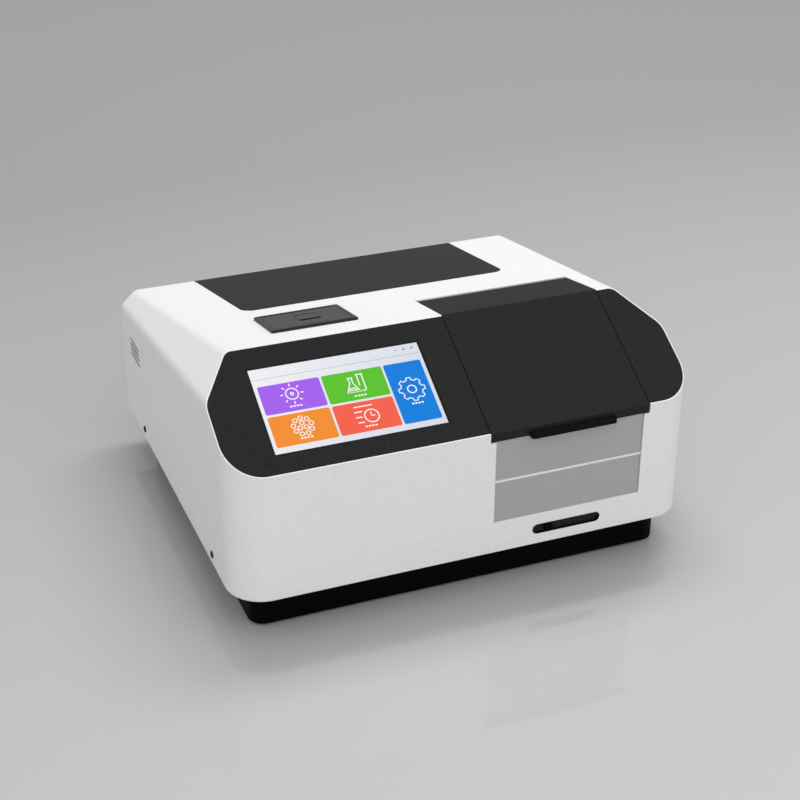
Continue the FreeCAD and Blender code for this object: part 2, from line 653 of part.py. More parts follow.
def side_screws():
    """Black screws through the side walls into the base plate's flanges."""
    z = CASE_LIFT + SIDE_SCREW_HEIGHT
    screws = []
    for side, y in side_screw_places():
        shank = Part.makeCylinder(SCREW_RADIUS, SCREW_LENGTH, Vector(side * HALF_WIDTH, y, z), X_AXIS * -side)
        head = Part.makeCylinder(SCREW_HEAD_RADIUS, SCREW_HEAD_HEIGHT, Vector(side * HALF_WIDTH, y, z),
                                 X_AXIS * side)
        rim = [edge for edge in head.Edges if abs(edge.CenterOfMass.x) > HALF_WIDTH + SCREW_HEAD_HEIGHT / 2
               and edge.BoundBox.YLength > SCREW_HEAD_RADIUS]
        screws.append(joined([head.makeFillet(SCREW_HEAD_HEIGHT / 2, rim), shank]))
    return Part.makeCompound(screws)


def rear_screw_holes():
    """Holes through the cover's flange, the rear panel and the base plate's rear flange."""
    return [along_y(SCREW_RADIUS + RUNNING_GAP, place.x, PANEL_FRONT_Y - BASE_THICKNESS - OVERRUN,
                    REAR_Y + OVERRUN, place.z) for place in panel_screw_places() + cover_screw_places()]


def rear_screws():
    """Black screws on the back: three in the panel, two in the cover's flange."""
    screws = []
    for place in panel_screw_places():
        screws.append(rear_screw(place, PANEL_BACK_Y))
    for place in cover_screw_places():
        screws.append(rear_screw(place, PANEL_BACK_Y + COVER_FLANGE_THICKNESS))
    return Part.makeCompound(screws)


def rear_screw(place, seat_y):
    head = along_y(SCREW_HEAD_RADIUS, place.x, seat_y, seat_y + SCREW_HEAD_HEIGHT, place.z)
    return joined([head, along_y(SCREW_RADIUS, place.x, seat_y - SCREW_LENGTH, seat_y, place.z)])


def port_opening(x, wide, tall):
    """A hole through the rear panel."""
    return block(x - wide / 2 - FIT_GAP, x + wide / 2 + FIT_GAP, PANEL_FRONT_Y - OVERRUN,
                 PANEL_BACK_Y + OVERRUN, PORT_Z - tall / 2 - FIT_GAP, PORT_Z + tall / 2 + FIT_GAP)


def usb_places():
    return [USB_X + (step - (USB_COUNT - 1) / 2) * USB_PITCH for step in range(USB_COUNT)]


def rear_panel():
    """The dark plate set into the casing's open back."""
    body = casing_body(WALL + FIT_GAP, 0, PANEL_BACK_Y, CASE_LIFT)
    panel = body.common(block(-SPAN, SPAN, PANEL_FRONT_Y, PANEL_BACK_Y, CASE_LIFT, RIDGE.z))
    cuts = [port_opening(INLET_X, INLET_WIDTH, INLET_HEIGHT),
            port_opening(SWITCH_X, SWITCH_WIDTH, SWITCH_HEIGHT),
            port_opening(SERIAL_X, SERIAL_WIDTH, SERIAL_HEIGHT)]
    cuts += [port_opening(x, USB_WIDTH, USB_HEIGHT) for x in usb_places()]
    return panel.cut(cuts + rear_screw_holes())


def rear_cover():
    """The dark cover let into the top, with a flange down the back."""
    plate = cover_plate(0, COVER_ROUND, -COVER_THICKNESS, 0)
    plate = plate.cut(block(-SPAN, SPAN, REAR_Y, SPAN, 0, SPAN))
    half = COVER_REAR_WIDTH / 2
    flange = block(-half, half, PANEL_BACK_Y, PANEL_BACK_Y + COVER_FLANGE_THICKNESS,
                   REAR_Z - COVER_FLANGE, RIDGE.z)
    flange = flange.cut(beyond(RIDGE, TOP_NORMAL))
    return joined([plate, flange]).cut(rear_screw_holes())


def screen_fascia():
    """The dark plate on the left of the lid, with the screen's window."""
    plate = fascia_plate(FASCIA_RIM + FIT_GAP, -FASCIA_THICKNESS, 0)
    plate = plate.common(block(-SPAN, LID_LEFT - LID_GAP, -SPAN, SPAN, 0, SPAN))
    return plate.cut(screen_window(FIT_GAP, -FASCIA_THICKNESS - OVERRUN, OVERRUN))


def side_fascia():
    """The narrow dark plate on the right of the lid."""
    plate = fascia_plate(FASCIA_RIM + FIT_GAP, -FASCIA_THICKNESS, 0)
    return plate.common(block(LID_RIGHT + LID_GAP, SPAN, -SPAN, SPAN, 0, SPAN))


def screen_glass():
    """Touch glass, flush with the fascia and seated on the display."""
    return screen_window(0, -FASCIA_THICKNESS, 0)


def display_module():
    """The display behind the glass and the fascia."""
    return display_block(MODULE_WIDTH, MODULE_HEIGHT, -FASCIA_THICKNESS - MODULE_THICKNESS, -FASCIA_THICKNESS)


def display_bracket():
    """A strap over the back of the display, with legs on the casing's ledge."""
    seat = -FASCIA_THICKNESS - LEDGE_THICKNESS
    back = -FASCIA_THICKNESS - MODULE_THICKNESS
    wide = MODULE_WIDTH / 2 + FIT_GAP + DISPLAY_BRACKET_LEG
    inner = MODULE_WIDTH / 2 + 2 * FIT_GAP
    tall = DISPLAY_BRACKET_HEIGHT / 2
    pieces = [display_block(2 * wide, DISPLAY_BRACKET_HEIGHT, back - DISPLAY_BRACKET_THICKNESS, back)]
    for left, right in ((-wide, -inner), (inner, wide)):
        pieces.append(slope_block(SCREEN_X + left, SCREEN_X + right, SCREEN_DOWN - tall, SCREEN_DOWN + tall,
                                  back, seat))
    return joined(pieces)


def lid_outline(depth):
    """The lid's section: its outer line from the hinge to the skirt, and back at a depth below it."""
    reach = LID_REACH - BARREL_RADIUS
    foot_z = CASE_LIFT + FRONT_HEIGHT
    middle = (SLOPE_NORMAL + TOP_NORMAL).normalize()
    turn = math.radians((SLOPE_DEG + TOP_DEG) / 2)
    under = RIDGE - SLOPE_NORMAL * depth
    inner_foot_z = under.z + (FRONT_Y + depth - under.y) * math.tan(math.radians(SLOPE_DEG))
    return [ON_TOP.multVec(Vector(0, reach, 0)), RIDGE, Vector(0, FRONT_Y, foot_z),
            Vector(0, FRONT_Y, SKIRT_Z), Vector(0, FRONT_Y + depth, SKIRT_Z),
            Vector(0, FRONT_Y + depth, inner_foot_z),
            RIDGE - middle * (depth / math.cos(turn)), ON_TOP.multVec(Vector(0, reach, -depth))]


def lid():
    """The dark lid, with a hinge barrel at its rear edge and a pull at its front edge."""
    pieces = [prism(lid_outline(LID_THICKNESS), LID_LEFT, LID_RIGHT)]
    rim = lid_outline(LID_THICKNESS + SIDE_LIP_DEPTH)
    pieces.append(prism(rim, LID_LEFT, LID_LEFT + SIDE_LIP_THICKNESS))
    pieces.append(prism(rim, LID_RIGHT - SIDE_LIP_THICKNESS, LID_RIGHT))
    pieces.append(along_x(BARREL_RADIUS, LID_LEFT, LID_RIGHT, HINGE_AXIS.y, HINGE_AXIS.z))
    pieces.append(lid_pull())
    bore = along_x(PIN_RADIUS + RUNNING_GAP, LID_LEFT - OVERRUN, LID_RIGHT + OVERRUN, HINGE_AXIS.y,
                   HINGE_AXIS.z)
    return joined(pieces).cut(bore)


def lid_pull():
    """The lip that fingers lift, with a cove where it meets the lid."""
    left = LID_X - LID_WIDTH * PULL_SHARE / 2
    right = LID_X + LID_WIDTH * PULL_SHARE / 2
    lip = block(left, right, FRONT_Y - PULL_REACH, FRONT_Y + LID_THICKNESS, SKIRT_Z, SKIRT_Z + PULL_THICKNESS)
    corners = [edge for edge in lip.Edges
               if edge.BoundBox.ZLength > PULL_THICKNESS / 2 and edge.CenterOfMass.y < FRONT_Y]
    lip = lip.makeFillet(PULL_ROUND, corners)
    foot = SKIRT_Z + PULL_THICKNESS
    cove = block(left + PULL_ROUND, right - PULL_ROUND, FRONT_Y - PULL_COVE, FRONT_Y, foot, foot + PULL_COVE)
    cove = cove.cut(along_x(PULL_COVE, left, right, FRONT_Y - PULL_COVE, foot + PULL_COVE))
    return joined([lip, cove])


def hinge_pin():
    """The steel pin of the lid, from bracket to bracket."""
    out = LID_GAP + BRACKET_WIDTH
    return along_x(PIN_RADIUS, LID_LEFT - out, LID_RIGHT + out, HINGE_AXIS.y, HINGE_AXIS.z)


def hinge_brackets():
    """Two blocks under the casing's top that hold the ends of the pin."""
    middle = LID_REACH - BARREL_RADIUS
    brackets = []
    for x0 in (LID_LEFT - LID_GAP - BRACKET_WIDTH, LID_RIGHT + LID_GAP):
        body = top_block(x0, x0 + BRACKET_WIDTH, middle - BRACKET_LENGTH / 2, middle + BRACKET_LENGTH / 2,
                         -WALL - BRACKET_DEPTH, -WALL)
        brackets.append(body.cut(along_x(PIN_RADIUS + RUNNING_GAP, x0 - OVERRUN, x0 + BRACKET_WIDTH + OVERRUN,
                                         HINGE_AXIS.y, HINGE_AXIS.z)))
    return Part.makeCompound(brackets)


def bay_block(inset, floor_z, depth):
    """The sample bay's form, drawn in by inset, up to a depth below the lid's outer faces."""
    body = block(BAY_LEFT + inset, BAY_RIGHT - inset, BAY_FRONT_Y + inset, BAY_REAR_Y - inset, floor_z,
                 RIDGE.z)
    body = body.cut(beyond(RIDGE - SLOPE_NORMAL * depth, SLOPE_NORMAL))
    return body.cut(beyond(RIDGE - TOP_NORMAL * depth, TOP_NORMAL))


def bay_liner():
    """The black tub under the lid, with a slot for the changer and holes for the light."""
    rim = LID_THICKNESS + FIT_GAP + SEAL_THICKNESS
    tub = bay_block(0, BAY_FLOOR_Z - BAY_WALL, rim).cut(bay_block(BAY_WALL, BAY_FLOOR_Z, -OVERRUN))
    left = HOLDER_X - POST_LENGTH / 2 - TRAVEL_LEFT - POST_PLAY
    right = HOLDER_X + POST_LENGTH / 2 + TRAVEL_RIGHT + POST_PLAY
    half = POST_DEPTH / 2 + POST_PLAY
    slot = block(left, right, HOLDER_Y - half, HOLDER_Y + half, BAY_FLOOR_Z - BAY_WALL - OVERRUN,
                 BAY_FLOOR_Z + OVERRUN)
    light = along_y(BEAM_RADIUS, LID_X, BAY_REAR_Y - BAY_WALL - OVERRUN, BAY_REAR_Y + OVERRUN, BEAM_Z)
    return tub.cut([slot, light])


def bay_seal():
    """A soft strip round the tub's rim, under the lid."""
    top = LID_THICKNESS + FIT_GAP
    strip = bay_block(0, BAY_FLOOR_Z, top).cut(bay_block(0, 0, top + SEAL_THICKNESS))
    return strip.cut(bay_block(BAY_WALL, 0, -OVERRUN))


def front_plate(low, high, recess):
    """A plate on the front of the tub, between two heights."""
    return block(BAY_LEFT, BAY_RIGHT, FRONT_Y + recess, BAY_FRONT_Y, low, high)


def upper_front_plate():
    return front_plate(CASE_LIFT + TRIM_HEIGHT + TRIM_WIDTH / 2, SKIRT_Z - LID_GAP, PLATE_RECESS)


def lower_front_plate():
    return front_plate(CASE_LIFT + PLATE_BOTTOM, CASE_LIFT + TRIM_HEIGHT - TRIM_WIDTH / 2, PLATE_RECESS)


def plate_trim_strip():
    middle = CASE_LIFT + TRIM_HEIGHT
    return front_plate(middle - TRIM_WIDTH / 2, middle + TRIM_WIDTH / 2, PLATE_RECESS - TRIM_PROUD)


def cuvette_holder():
    """A block with a row of square wells and windows for the light."""
    half_length = (CUVETTE_PITCH * CUVETTE_COUNT + HOLDER_WALL) / 2
    half_depth = CUVETTE_WELL / 2 + HOLDER_WALL
    top = HOLDER_Z + HOLDER_HEIGHT
    body = block(HOLDER_X - half_length, HOLDER_X + half_length, HOLDER_Y - half_depth, HOLDER_Y + half_depth,
                 HOLDER_Z, top)
    cuts = []
    half = CUVETTE_WELL / 2
    for step in range(CUVETTE_COUNT):
        x = HOLDER_X + (step - (CUVETTE_COUNT - 1) / 2) * CUVETTE_PITCH
        cuts.append(block(x - half, x + half, HOLDER_Y - half, HOLDER_Y + half, HOLDER_Z + HOLDER_FLOOR,
                          top + OVERRUN))
        cuts.append(along_y(WINDOW_RADIUS, x, HOLDER_Y - half_depth - OVERRUN,
                            HOLDER_Y + half_depth + OVERRUN, BEAM_Z))
    return body.cut(cuts)


def rod_places():
    return (HOLDER_Y - ROD_SPACING / 2, HOLDER_Y + ROD_SPACING / 2)


def carriage_block():
    """The slide under the bay's floor, with a post up to the cuvette holder."""
    low = LEVER_Z - BLOCK_HEIGHT / 2
    high = LEVER_Z + BLOCK_HEIGHT / 2
    left = HOLDER_X - BLOCK_LENGTH / 2
    right = HOLDER_X + BLOCK_LENGTH / 2
    body = block(left, right, HOLDER_Y - BLOCK_DEPTH / 2, HOLDER_Y + BLOCK_DEPTH / 2, low, high)
    post = block(HOLDER_X - POST_LENGTH / 2, HOLDER_X + POST_LENGTH / 2, HOLDER_Y - POST_DEPTH / 2,
                 HOLDER_Y + POST_DEPTH / 2, high, HOLDER_Z)
    bores = [along_x(ROD_RADIUS + RUNNING_GAP, left - OVERRUN, right + OVERRUN, y, LEVER_Z)
             for y in rod_places()]
    return joined([body, post]).cut(bores)


def guide_rods():
    """Two steel rods that the slide runs on."""
    return Part.makeCompound([along_x(ROD_RADIUS, BAY_LEFT, BAY_RIGHT, y, LEVER_Z) for y in rod_places()])


def rod_supports():
    """Two plates that hold the rods and carry the tub."""
    supports = []
    top = BAY_FLOOR_Z - BAY_WALL
    for x0 in (BAY_LEFT, BAY_RIGHT - SUPPORT_THICKNESS):
        plate = block(x0, x0 + SUPPORT_THICKNESS, HOLDER_Y - BLOCK_DEPTH / 2, HOLDER_Y + BLOCK_DEPTH / 2,
                      BASE_TOP, top)
        bores = [along_x(ROD_RADIUS + RUNNING_GAP, x0 - OVERRUN, x0 + SUPPORT_THICKNESS + OVERRUN, y, LEVER_Z)
                 for y in rod_places()]
        supports.append(plate.cut(bores))
    return Part.makeCompound(supports)


def lever_arm():
    """The bar from the slide to the knob."""
    return block(KNOB_X - LEVER_WIDTH / 2, KNOB_X + LEVER_WIDTH / 2, SHIELD_Y + SHIELD_THICKNESS,
                 HOLDER_Y - BLOCK_DEPTH / 2, LEVER_Z - LEVER_THICKNESS / 2, LEVER_Z + LEVER_THICKNESS / 2)


def slot_shield():
    """The dark strip that closes the slot behind the knob."""
    return block(KNOB_X - SHIELD_LENGTH / 2, KNOB_X + SHIELD_LENGTH / 2, SHIELD_Y,
                 SHIELD_Y + SHIELD_THICKNESS, LEVER_Z - SHIELD_HEIGHT / 2, LEVER_Z + SHIELD_HEIGHT / 2)


def lever_knob():
    """The round black knob in the slot."""
    knob = along_y(KNOB_RADIUS, KNOB_X, FRONT_Y - KNOB_PROUD, SHIELD_Y, LEVER_Z)
    rim = [edge for edge in knob.Edges
           if edge.BoundBox.XLength > KNOB_RADIUS and edge.CenterOfMass.y < FRONT_Y]
    return knob.makeFillet(KNOB_PROUD / 2, rim)


def detector_housing():
    """The black box in front of the cuvettes that holds the light sensor."""
    front = BAY_FRONT_Y + BAY_WALL
    rear = front + DETECTOR_DEPTH
    body = block(LID_X - DETECTOR_WIDTH / 2, LID_X + DETECTOR_WIDTH / 2, front, rear, BAY_FLOOR_Z,
                 BAY_FLOOR_Z + DETECTOR_HEIGHT)
    return body.cut(along_y(BEAM_RADIUS, LID_X, rear - DIODE_HOLE_DEPTH, rear + OVERRUN, BEAM_Z))


def photodiode():
    start = BAY_FRONT_Y + BAY_WALL + DETECTOR_DEPTH - DIODE_HOLE_DEPTH
    return along_y(BEAM_RADIUS - FIT_GAP, LID_X, start, start + DIODE_LENGTH, BEAM_Z)


def optical_bench():
    """The aluminium plate that carries the lamp, lens and filter wheel."""
    return block(LID_X - BENCH_LEFT, LID_X + BENCH_RIGHT, BENCH_Y, BENCH_REAR_Y, BASE_TOP, BENCH_TOP)


def lens_mount():
    start = BENCH_Y + LENS_MOUNT_SETBACK
    half = LENS_MOUNT_WIDTH / 2
    body = block(LID_X - half, LID_X + half, start, start + LENS_MOUNT_DEPTH, BENCH_TOP, BEAM_Z + half)
    return body.cut(along_y(LENS_RADIUS, LID_X, start - OVERRUN, start + LENS_MOUNT_DEPTH + OVERRUN, BEAM_Z))


def condenser_lens():
    """A lens with two curved faces, held in the middle of its mount."""
    middle = BENCH_Y + LENS_MOUNT_SETBACK + LENS_MOUNT_DEPTH / 2
    radius = LENS_RADIUS - RUNNING_GAP
    disc = along_y(radius, LID_X, middle - LENS_THICKNESS / 2, middle + LENS_THICKNESS / 2, BEAM_Z)
    ball = 2 * LENS_RADIUS
    for side in (-1, 1):
        centre = Vector(LID_X, middle + side * (LENS_THICKNESS / 2 - ball), BEAM_Z)
        disc = disc.common(Part.makeSphere(ball, centre))
    return disc


def filter_places():
    """Middles of the filters, the first one on the beam."""
    places = []
    for step in range(FILTER_COUNT):
        turn = math.pi + 2 * math.pi * step / FILTER_COUNT
        places.append((WHEEL_X + FILTER_CIRCLE * math.cos(turn), BEAM_Z + FILTER_CIRCLE * math.sin(turn)))
    return places


def filter_wheel():
    wheel = along_y(WHEEL_RADIUS, WHEEL_X, WHEEL_Y, WHEEL_Y + WHEEL_THICKNESS, BEAM_Z)
    y0 = WHEEL_Y - OVERRUN
    y1 = WHEEL_Y + WHEEL_THICKNESS + OVERRUN
    cuts = [along_y(MOTOR_SHAFT_RADIUS + RUNNING_GAP, WHEEL_X, y0, y1, BEAM_Z)]
    cuts += [along_y(FILTER_RADIUS, x, y0, y1, z) for x, z in filter_places()]
    return wheel.cut(cuts)


def colour_filters():
    """Round glass filters in the wheel."""
    start = WHEEL_Y + (WHEEL_THICKNESS - FILTER_THICKNESS) / 2
    return Part.makeCompound([along_y(FILTER_RADIUS - RUNNING_GAP, x, start, start + FILTER_THICKNESS, z)
                              for x, z in filter_places()])


def wheel_motor():
    half = MOTOR_SIZE / 2
    body = block(WHEEL_X - half, WHEEL_X + half, MOTOR_Y, MOTOR_Y + MOTOR_LENGTH, BEAM_Z - half,
                 BEAM_Z + half)
    return joined([body, along_y(MOTOR_SHAFT_RADIUS, WHEEL_X, WHEEL_Y, MOTOR_Y, BEAM_Z)])


def motor_bracket():
    """The upright plate between the wheel and its motor."""
    right = WHEEL_X + MOTOR_SIZE / 2 + MOTOR_PLATE_MARGIN
    left = LID_X - LENS_MOUNT_WIDTH / 2
    plate = block(left, right, MOTOR_PLATE_Y, MOTOR_Y, BENCH_TOP,
                  BEAM_Z + MOTOR_SIZE / 2 + MOTOR_PLATE_MARGIN)
    y0 = MOTOR_PLATE_Y - OVERRUN
    y1 = MOTOR_Y + OVERRUN
    return plate.cut([along_y(BEAM_RADIUS, LID_X, y0, y1, BEAM_Z),
                      along_y(MOTOR_SHAFT_RADIUS + FIT_GAP, WHEEL_X, y0, y1, BEAM_Z)])


def lamp_house():
    """The open-topped box round the lamp, with a hole towards the lens."""
    half = LAMP_WIDTH / 2
    body = block(LID_X - half, LID_X + half, LAMP_Y, LAMP_Y + LAMP_DEPTH, BENCH_TOP, BENCH_TOP + LAMP_HEIGHT)
    inner = half - LAMP_WALL
    hollow = block(LID_X - inner, LID_X + inner, LAMP_Y + LAMP_WALL, LAMP_Y + LAMP_DEPTH - LAMP_WALL,
                   BENCH_TOP + LAMP_WALL, BENCH_TOP + LAMP_HEIGHT + OVERRUN)
    beam = along_y(BEAM_RADIUS, LID_X, LAMP_Y - OVERRUN, LAMP_Y + LAMP_WALL + OVERRUN, BEAM_Z)
    return body.cut([hollow, beam])


def lamp_socket():
    floor = BENCH_TOP + LAMP_WALL
    return along_z(LAMP_SOCKET_RADIUS, LID_X, LAMP_Y + LAMP_DEPTH / 2, floor, floor + LAMP_SOCKET_HEIGHT)


def lamp_bulb():
    y = LAMP_Y + LAMP_DEPTH / 2
    foot = BENCH_TOP + LAMP_WALL + LAMP_SOCKET_HEIGHT
    neck = along_z(BULB_NECK_RADIUS, LID_X, y, foot, BEAM_Z)
    return joined([neck, Part.makeSphere(BULB_RADIUS, Vector(LID_X, y, BEAM_Z))])


def board_hole_places():
    wide = BOARD_WIDTH / 2 - BOARD_HOLE_INSET
    deep = BOARD_DEPTH / 2 - BOARD_HOLE_INSET
    return [(BOARD_X + x, BOARD_Y + y) for x in (-wide, wide) for y in (-deep, deep)]


def main_board():
    return block(BOARD_X - BOARD_WIDTH / 2, BOARD_X + BOARD_WIDTH / 2, BOARD_Y - BOARD_DEPTH / 2,
                 BOARD_Y + BOARD_DEPTH / 2, BOARD_Z, BOARD_Z + BOARD_THICKNESS)


def board_standoffs():
    return Part.makeCompound([along_z(STANDOFF_RADIUS, x, y, BASE_TOP, BOARD_Z)
                              for x, y in board_hole_places()])


def board_parts():
    """The processor, sockets and other blocks on the board."""
    left = BOARD_X - BOARD_WIDTH / 2
    front = BOARD_Y - BOARD_DEPTH / 2
    low = BOARD_Z + BOARD_THICKNESS
    return Part.makeCompound([block(left + x0 * BOARD_WIDTH, left + x1 * BOARD_WIDTH,
                                    front + y0 * BOARD_DEPTH, front + y1 * BOARD_DEPTH, low,
                                    low + CHIP_HEIGHT)
                              for x0, x1, y0, y1 in CHIP_SHARES])


def power_supply():
    return block(SUPPLY_X - SUPPLY_WIDTH / 2, SUPPLY_X + SUPPLY_WIDTH / 2, SUPPLY_Y - SUPPLY_DEPTH / 2,
                 SUPPLY_Y + SUPPLY_DEPTH / 2, BASE_TOP, BASE_TOP + SUPPLY_HEIGHT)


def fan_frame():
    """The square fan body on the left wall, with spokes and a fixed shaft."""
    half = FAN_SIZE / 2
    inner = FAN_X + FAN_DEPTH
    body = block(FAN_X, inner, FAN_Y - half, FAN_Y + half, FAN_Z - half, FAN_Z + half)
    edges = [edge for edge in body.Edges if edge.BoundBox.XLength > FAN_DEPTH / 2]
    body = body.makeFillet(FAN_ROUND, edges)
    body = body.cut(along_x(FAN_BORE_RADIUS, FAN_X - OVERRUN, inner + OVERRUN, FAN_Y, FAN_Z))
    plate = inner - FAN_SPOKE
    reach = (FAN_BORE_RADIUS + half) / 2
    spokes = [block(plate, inner, FAN_Y - reach, FAN_Y + reach, FAN_Z - FAN_SPOKE / 2, FAN_Z + FAN_SPOKE / 2),
              block(plate, inner, FAN_Y - FAN_SPOKE / 2, FAN_Y + FAN_SPOKE / 2, FAN_Z - reach, FAN_Z + reach)]
    hub = along_x(FAN_HUB_RADIUS, plate, inner, FAN_Y, FAN_Z)
    shaft = along_x(FAN_SHAFT_RADIUS, FAN_X + FAN_HUB_WALL, plate, FAN_Y, FAN_Z)
    return joined([body, hub, shaft] + spokes)


def fan_rotor():
    """The hub and blades that turn on the fan's shaft."""
    x0 = FAN_X + FAN_BLADE_GAP
    x1 = FAN_X + FAN_DEPTH - FAN_SPOKE - FAN_BLADE_GAP
    middle = (x0 + x1) / 2
    tip = FAN_BORE_RADIUS - FAN_BLADE_GAP
    root = FAN_HUB_RADIUS - FAN_HUB_WALL
    half = (x1 - x0) / 2
    pieces = [along_x(FAN_HUB_RADIUS, x0, x1, FAN_Y, FAN_Z)]
    for step in range(FAN_BLADE_COUNT):
        blade = block(-half, half, -FAN_BLADE_THICKNESS / 2, FAN_BLADE_THICKNESS / 2, root, tip)
        blade.rotate(Vector(0, 0, 0), Z_AXIS, FAN_BLADE_PITCH_DEG)
        blade.rotate(Vector(0, 0, 0), X_AXIS, 360 * step / FAN_BLADE_COUNT)
        blade.translate(Vector(middle, FAN_Y, FAN_Z))
        pieces.append(blade)
    return joined(pieces).cut(along_x(FAN_SHAFT_RADIUS + RUNNING_GAP, x0 - OVERRUN, x1 + OVERRUN, FAN_Y,
                                      FAN_Z))


def port_body(x, wide, tall, deep):
    """A flange on the rear panel, and a body through it."""
    lap = PORT_FLANGE
    flange = block(x - wide / 2 - lap, x + wide / 2 + lap, PANEL_BACK_Y, PANEL_BACK_Y + PORT_FLANGE_THICKNESS,
                   PORT_Z - tall / 2 - lap, PORT_Z + tall / 2 + lap)
    body = block(x - wide / 2, x + wide / 2, PANEL_BACK_Y - deep, PANEL_BACK_Y, PORT_Z - tall / 2,
                 PORT_Z + tall / 2)
    return joined([flange, body])


def port_cavity(x, wide, tall, deep, wall):
    """The space inside a port, open to the back."""
    return block(x - wide / 2 + wall, x + wide / 2 - wall, PANEL_BACK_Y - deep + wall,
                 PANEL_BACK_Y + PORT_FLANGE_THICKNESS + OVERRUN, PORT_Z - tall / 2 + wall,
                 PORT_Z + tall / 2 - wall)


def power_inlet():
    """The mains inlet, with three prongs in its socket."""
    body = port_body(INLET_X, INLET_WIDTH, INLET_HEIGHT, INLET_DEPTH)
    body = body.cut(port_cavity(INLET_X, INLET_WIDTH, INLET_HEIGHT, INLET_DEPTH, INLET_WALL))
    floor = PANEL_BACK_Y - INLET_DEPTH + INLET_WALL
    prongs = [along_y(INLET_PRONG_RADIUS, INLET_X + step * INLET_PRONG_SPACING, floor, PANEL_BACK_Y, PORT_Z)
              for step in (-1, 0, 1)]
    return joined([body] + prongs)


def switch_housing():
    """The power switch's frame, with holes for the rocker's pivots."""
    body = port_body(SWITCH_X, SWITCH_WIDTH, SWITCH_HEIGHT, SWITCH_DEPTH)
    pivot = along_x(ROCKER_PIVOT_RADIUS + RUNNING_GAP, SWITCH_X - SWITCH_WIDTH / 2,
                    SWITCH_X + SWITCH_WIDTH / 2, PANEL_BACK_Y, PORT_Z)
    return body.cut([port_cavity(SWITCH_X, SWITCH_WIDTH, SWITCH_HEIGHT, SWITCH_DEPTH, SWITCH_WALL), pivot])


def power_rocker():
    """The rocker, at rest with its upper end pressed in."""
    half = SWITCH_WIDTH / 2 - SWITCH_WALL - FIT_GAP
    turn = math.radians(ROCKER_TILT_DEG)
    tall = (SWITCH_HEIGHT / 2 - SWITCH_WALL - FIT_GAP) / math.cos(turn) - ROCKER_PROUD * math.tan(turn)
    outline = [Vector(0, ROCKER_PROUD, -tall), Vector(0, ROCKER_DIP, 0), Vector(0, ROCKER_PROUD, tall),
               Vector(0, -ROCKER_DEPTH, tall / 2), Vector(0, -ROCKER_DEPTH, -tall / 2)]
    reach = half + FIT_GAP + ROCKER_PIVOT_LENGTH
    rocker = joined([prism(outline, -half, half), along_x(ROCKER_PIVOT_RADIUS, -reach, reach, 0, 0)])
    return placed(rocker, Placement(Vector(SWITCH_X, PANEL_BACK_Y, PORT_Z),
                                    Rotation(X_AXIS, ROCKER_TILT_DEG)))


def usb_ports():
    ports = []
    for x in usb_places():
        body = port_body(x, USB_WIDTH, USB_HEIGHT, PORT_DEPTH)
        ports.append(body.cut(port_cavity(x, USB_WIDTH, USB_HEIGHT, PORT_DEPTH, PORT_WALL)))
    return Part.makeCompound(ports)


def serial_port():
    """A flanged data port with a raised shell."""
    body = port_body(SERIAL_X, SERIAL_WIDTH, SERIAL_HEIGHT, PORT_DEPTH)
    wide = SERIAL_WIDTH / 2
    tall = SERIAL_HEIGHT / 2
    shell = block(SERIAL_X - wide, SERIAL_X + wide, PANEL_BACK_Y, PANEL_BACK_Y + SERIAL_PROUD,
                  PORT_Z - tall, PORT_Z + tall)
    return joined([body, shell]).cut(port_cavity(SERIAL_X, SERIAL_WIDTH, SERIAL_HEIGHT, PORT_DEPTH,
                                                 PORT_WALL))


def printer_housing():
    """The printer's raised frame on the top and the bucket for the paper below it."""
    wide = PRINTER_WIDTH / 2
    long = PRINTER_LENGTH / 2
    frame = round_block(-wide, wide, -long, long, 0, PRINTER_RISE, PRINTER_ROUND)
    rim = [edge for edge in frame.Edges if edge.BoundBox.ZMin > PRINTER_RISE / 2]
    frame = frame.makeChamfer(PRINTER_BEVEL, rim)
    bucket = block(-BUCKET_WIDTH / 2, BUCKET_WIDTH / 2, -BUCKET_LENGTH / 2, BUCKET_LENGTH / 2,
                   -BUCKET_DEPTH, 0)
    inner = BUCKET_WIDTH / 2 - BUCKET_WALL
    deep = BUCKET_LENGTH / 2 - BUCKET_WALL
    hollow = block(-inner, inner, -deep, deep, BUCKET_WALL - BUCKET_DEPTH, PRINTER_RISE + OVERRUN)
    pin = along_x(DOOR_PIN_RADIUS + RUNNING_GAP, -BUCKET_WIDTH / 2, BUCKET_WIDTH / 2, DOOR_PIN_Y, DOOR_PIN_Z)
    return placed(joined([frame, bucket]).cut([hollow, pin]), ON_PRINTER)


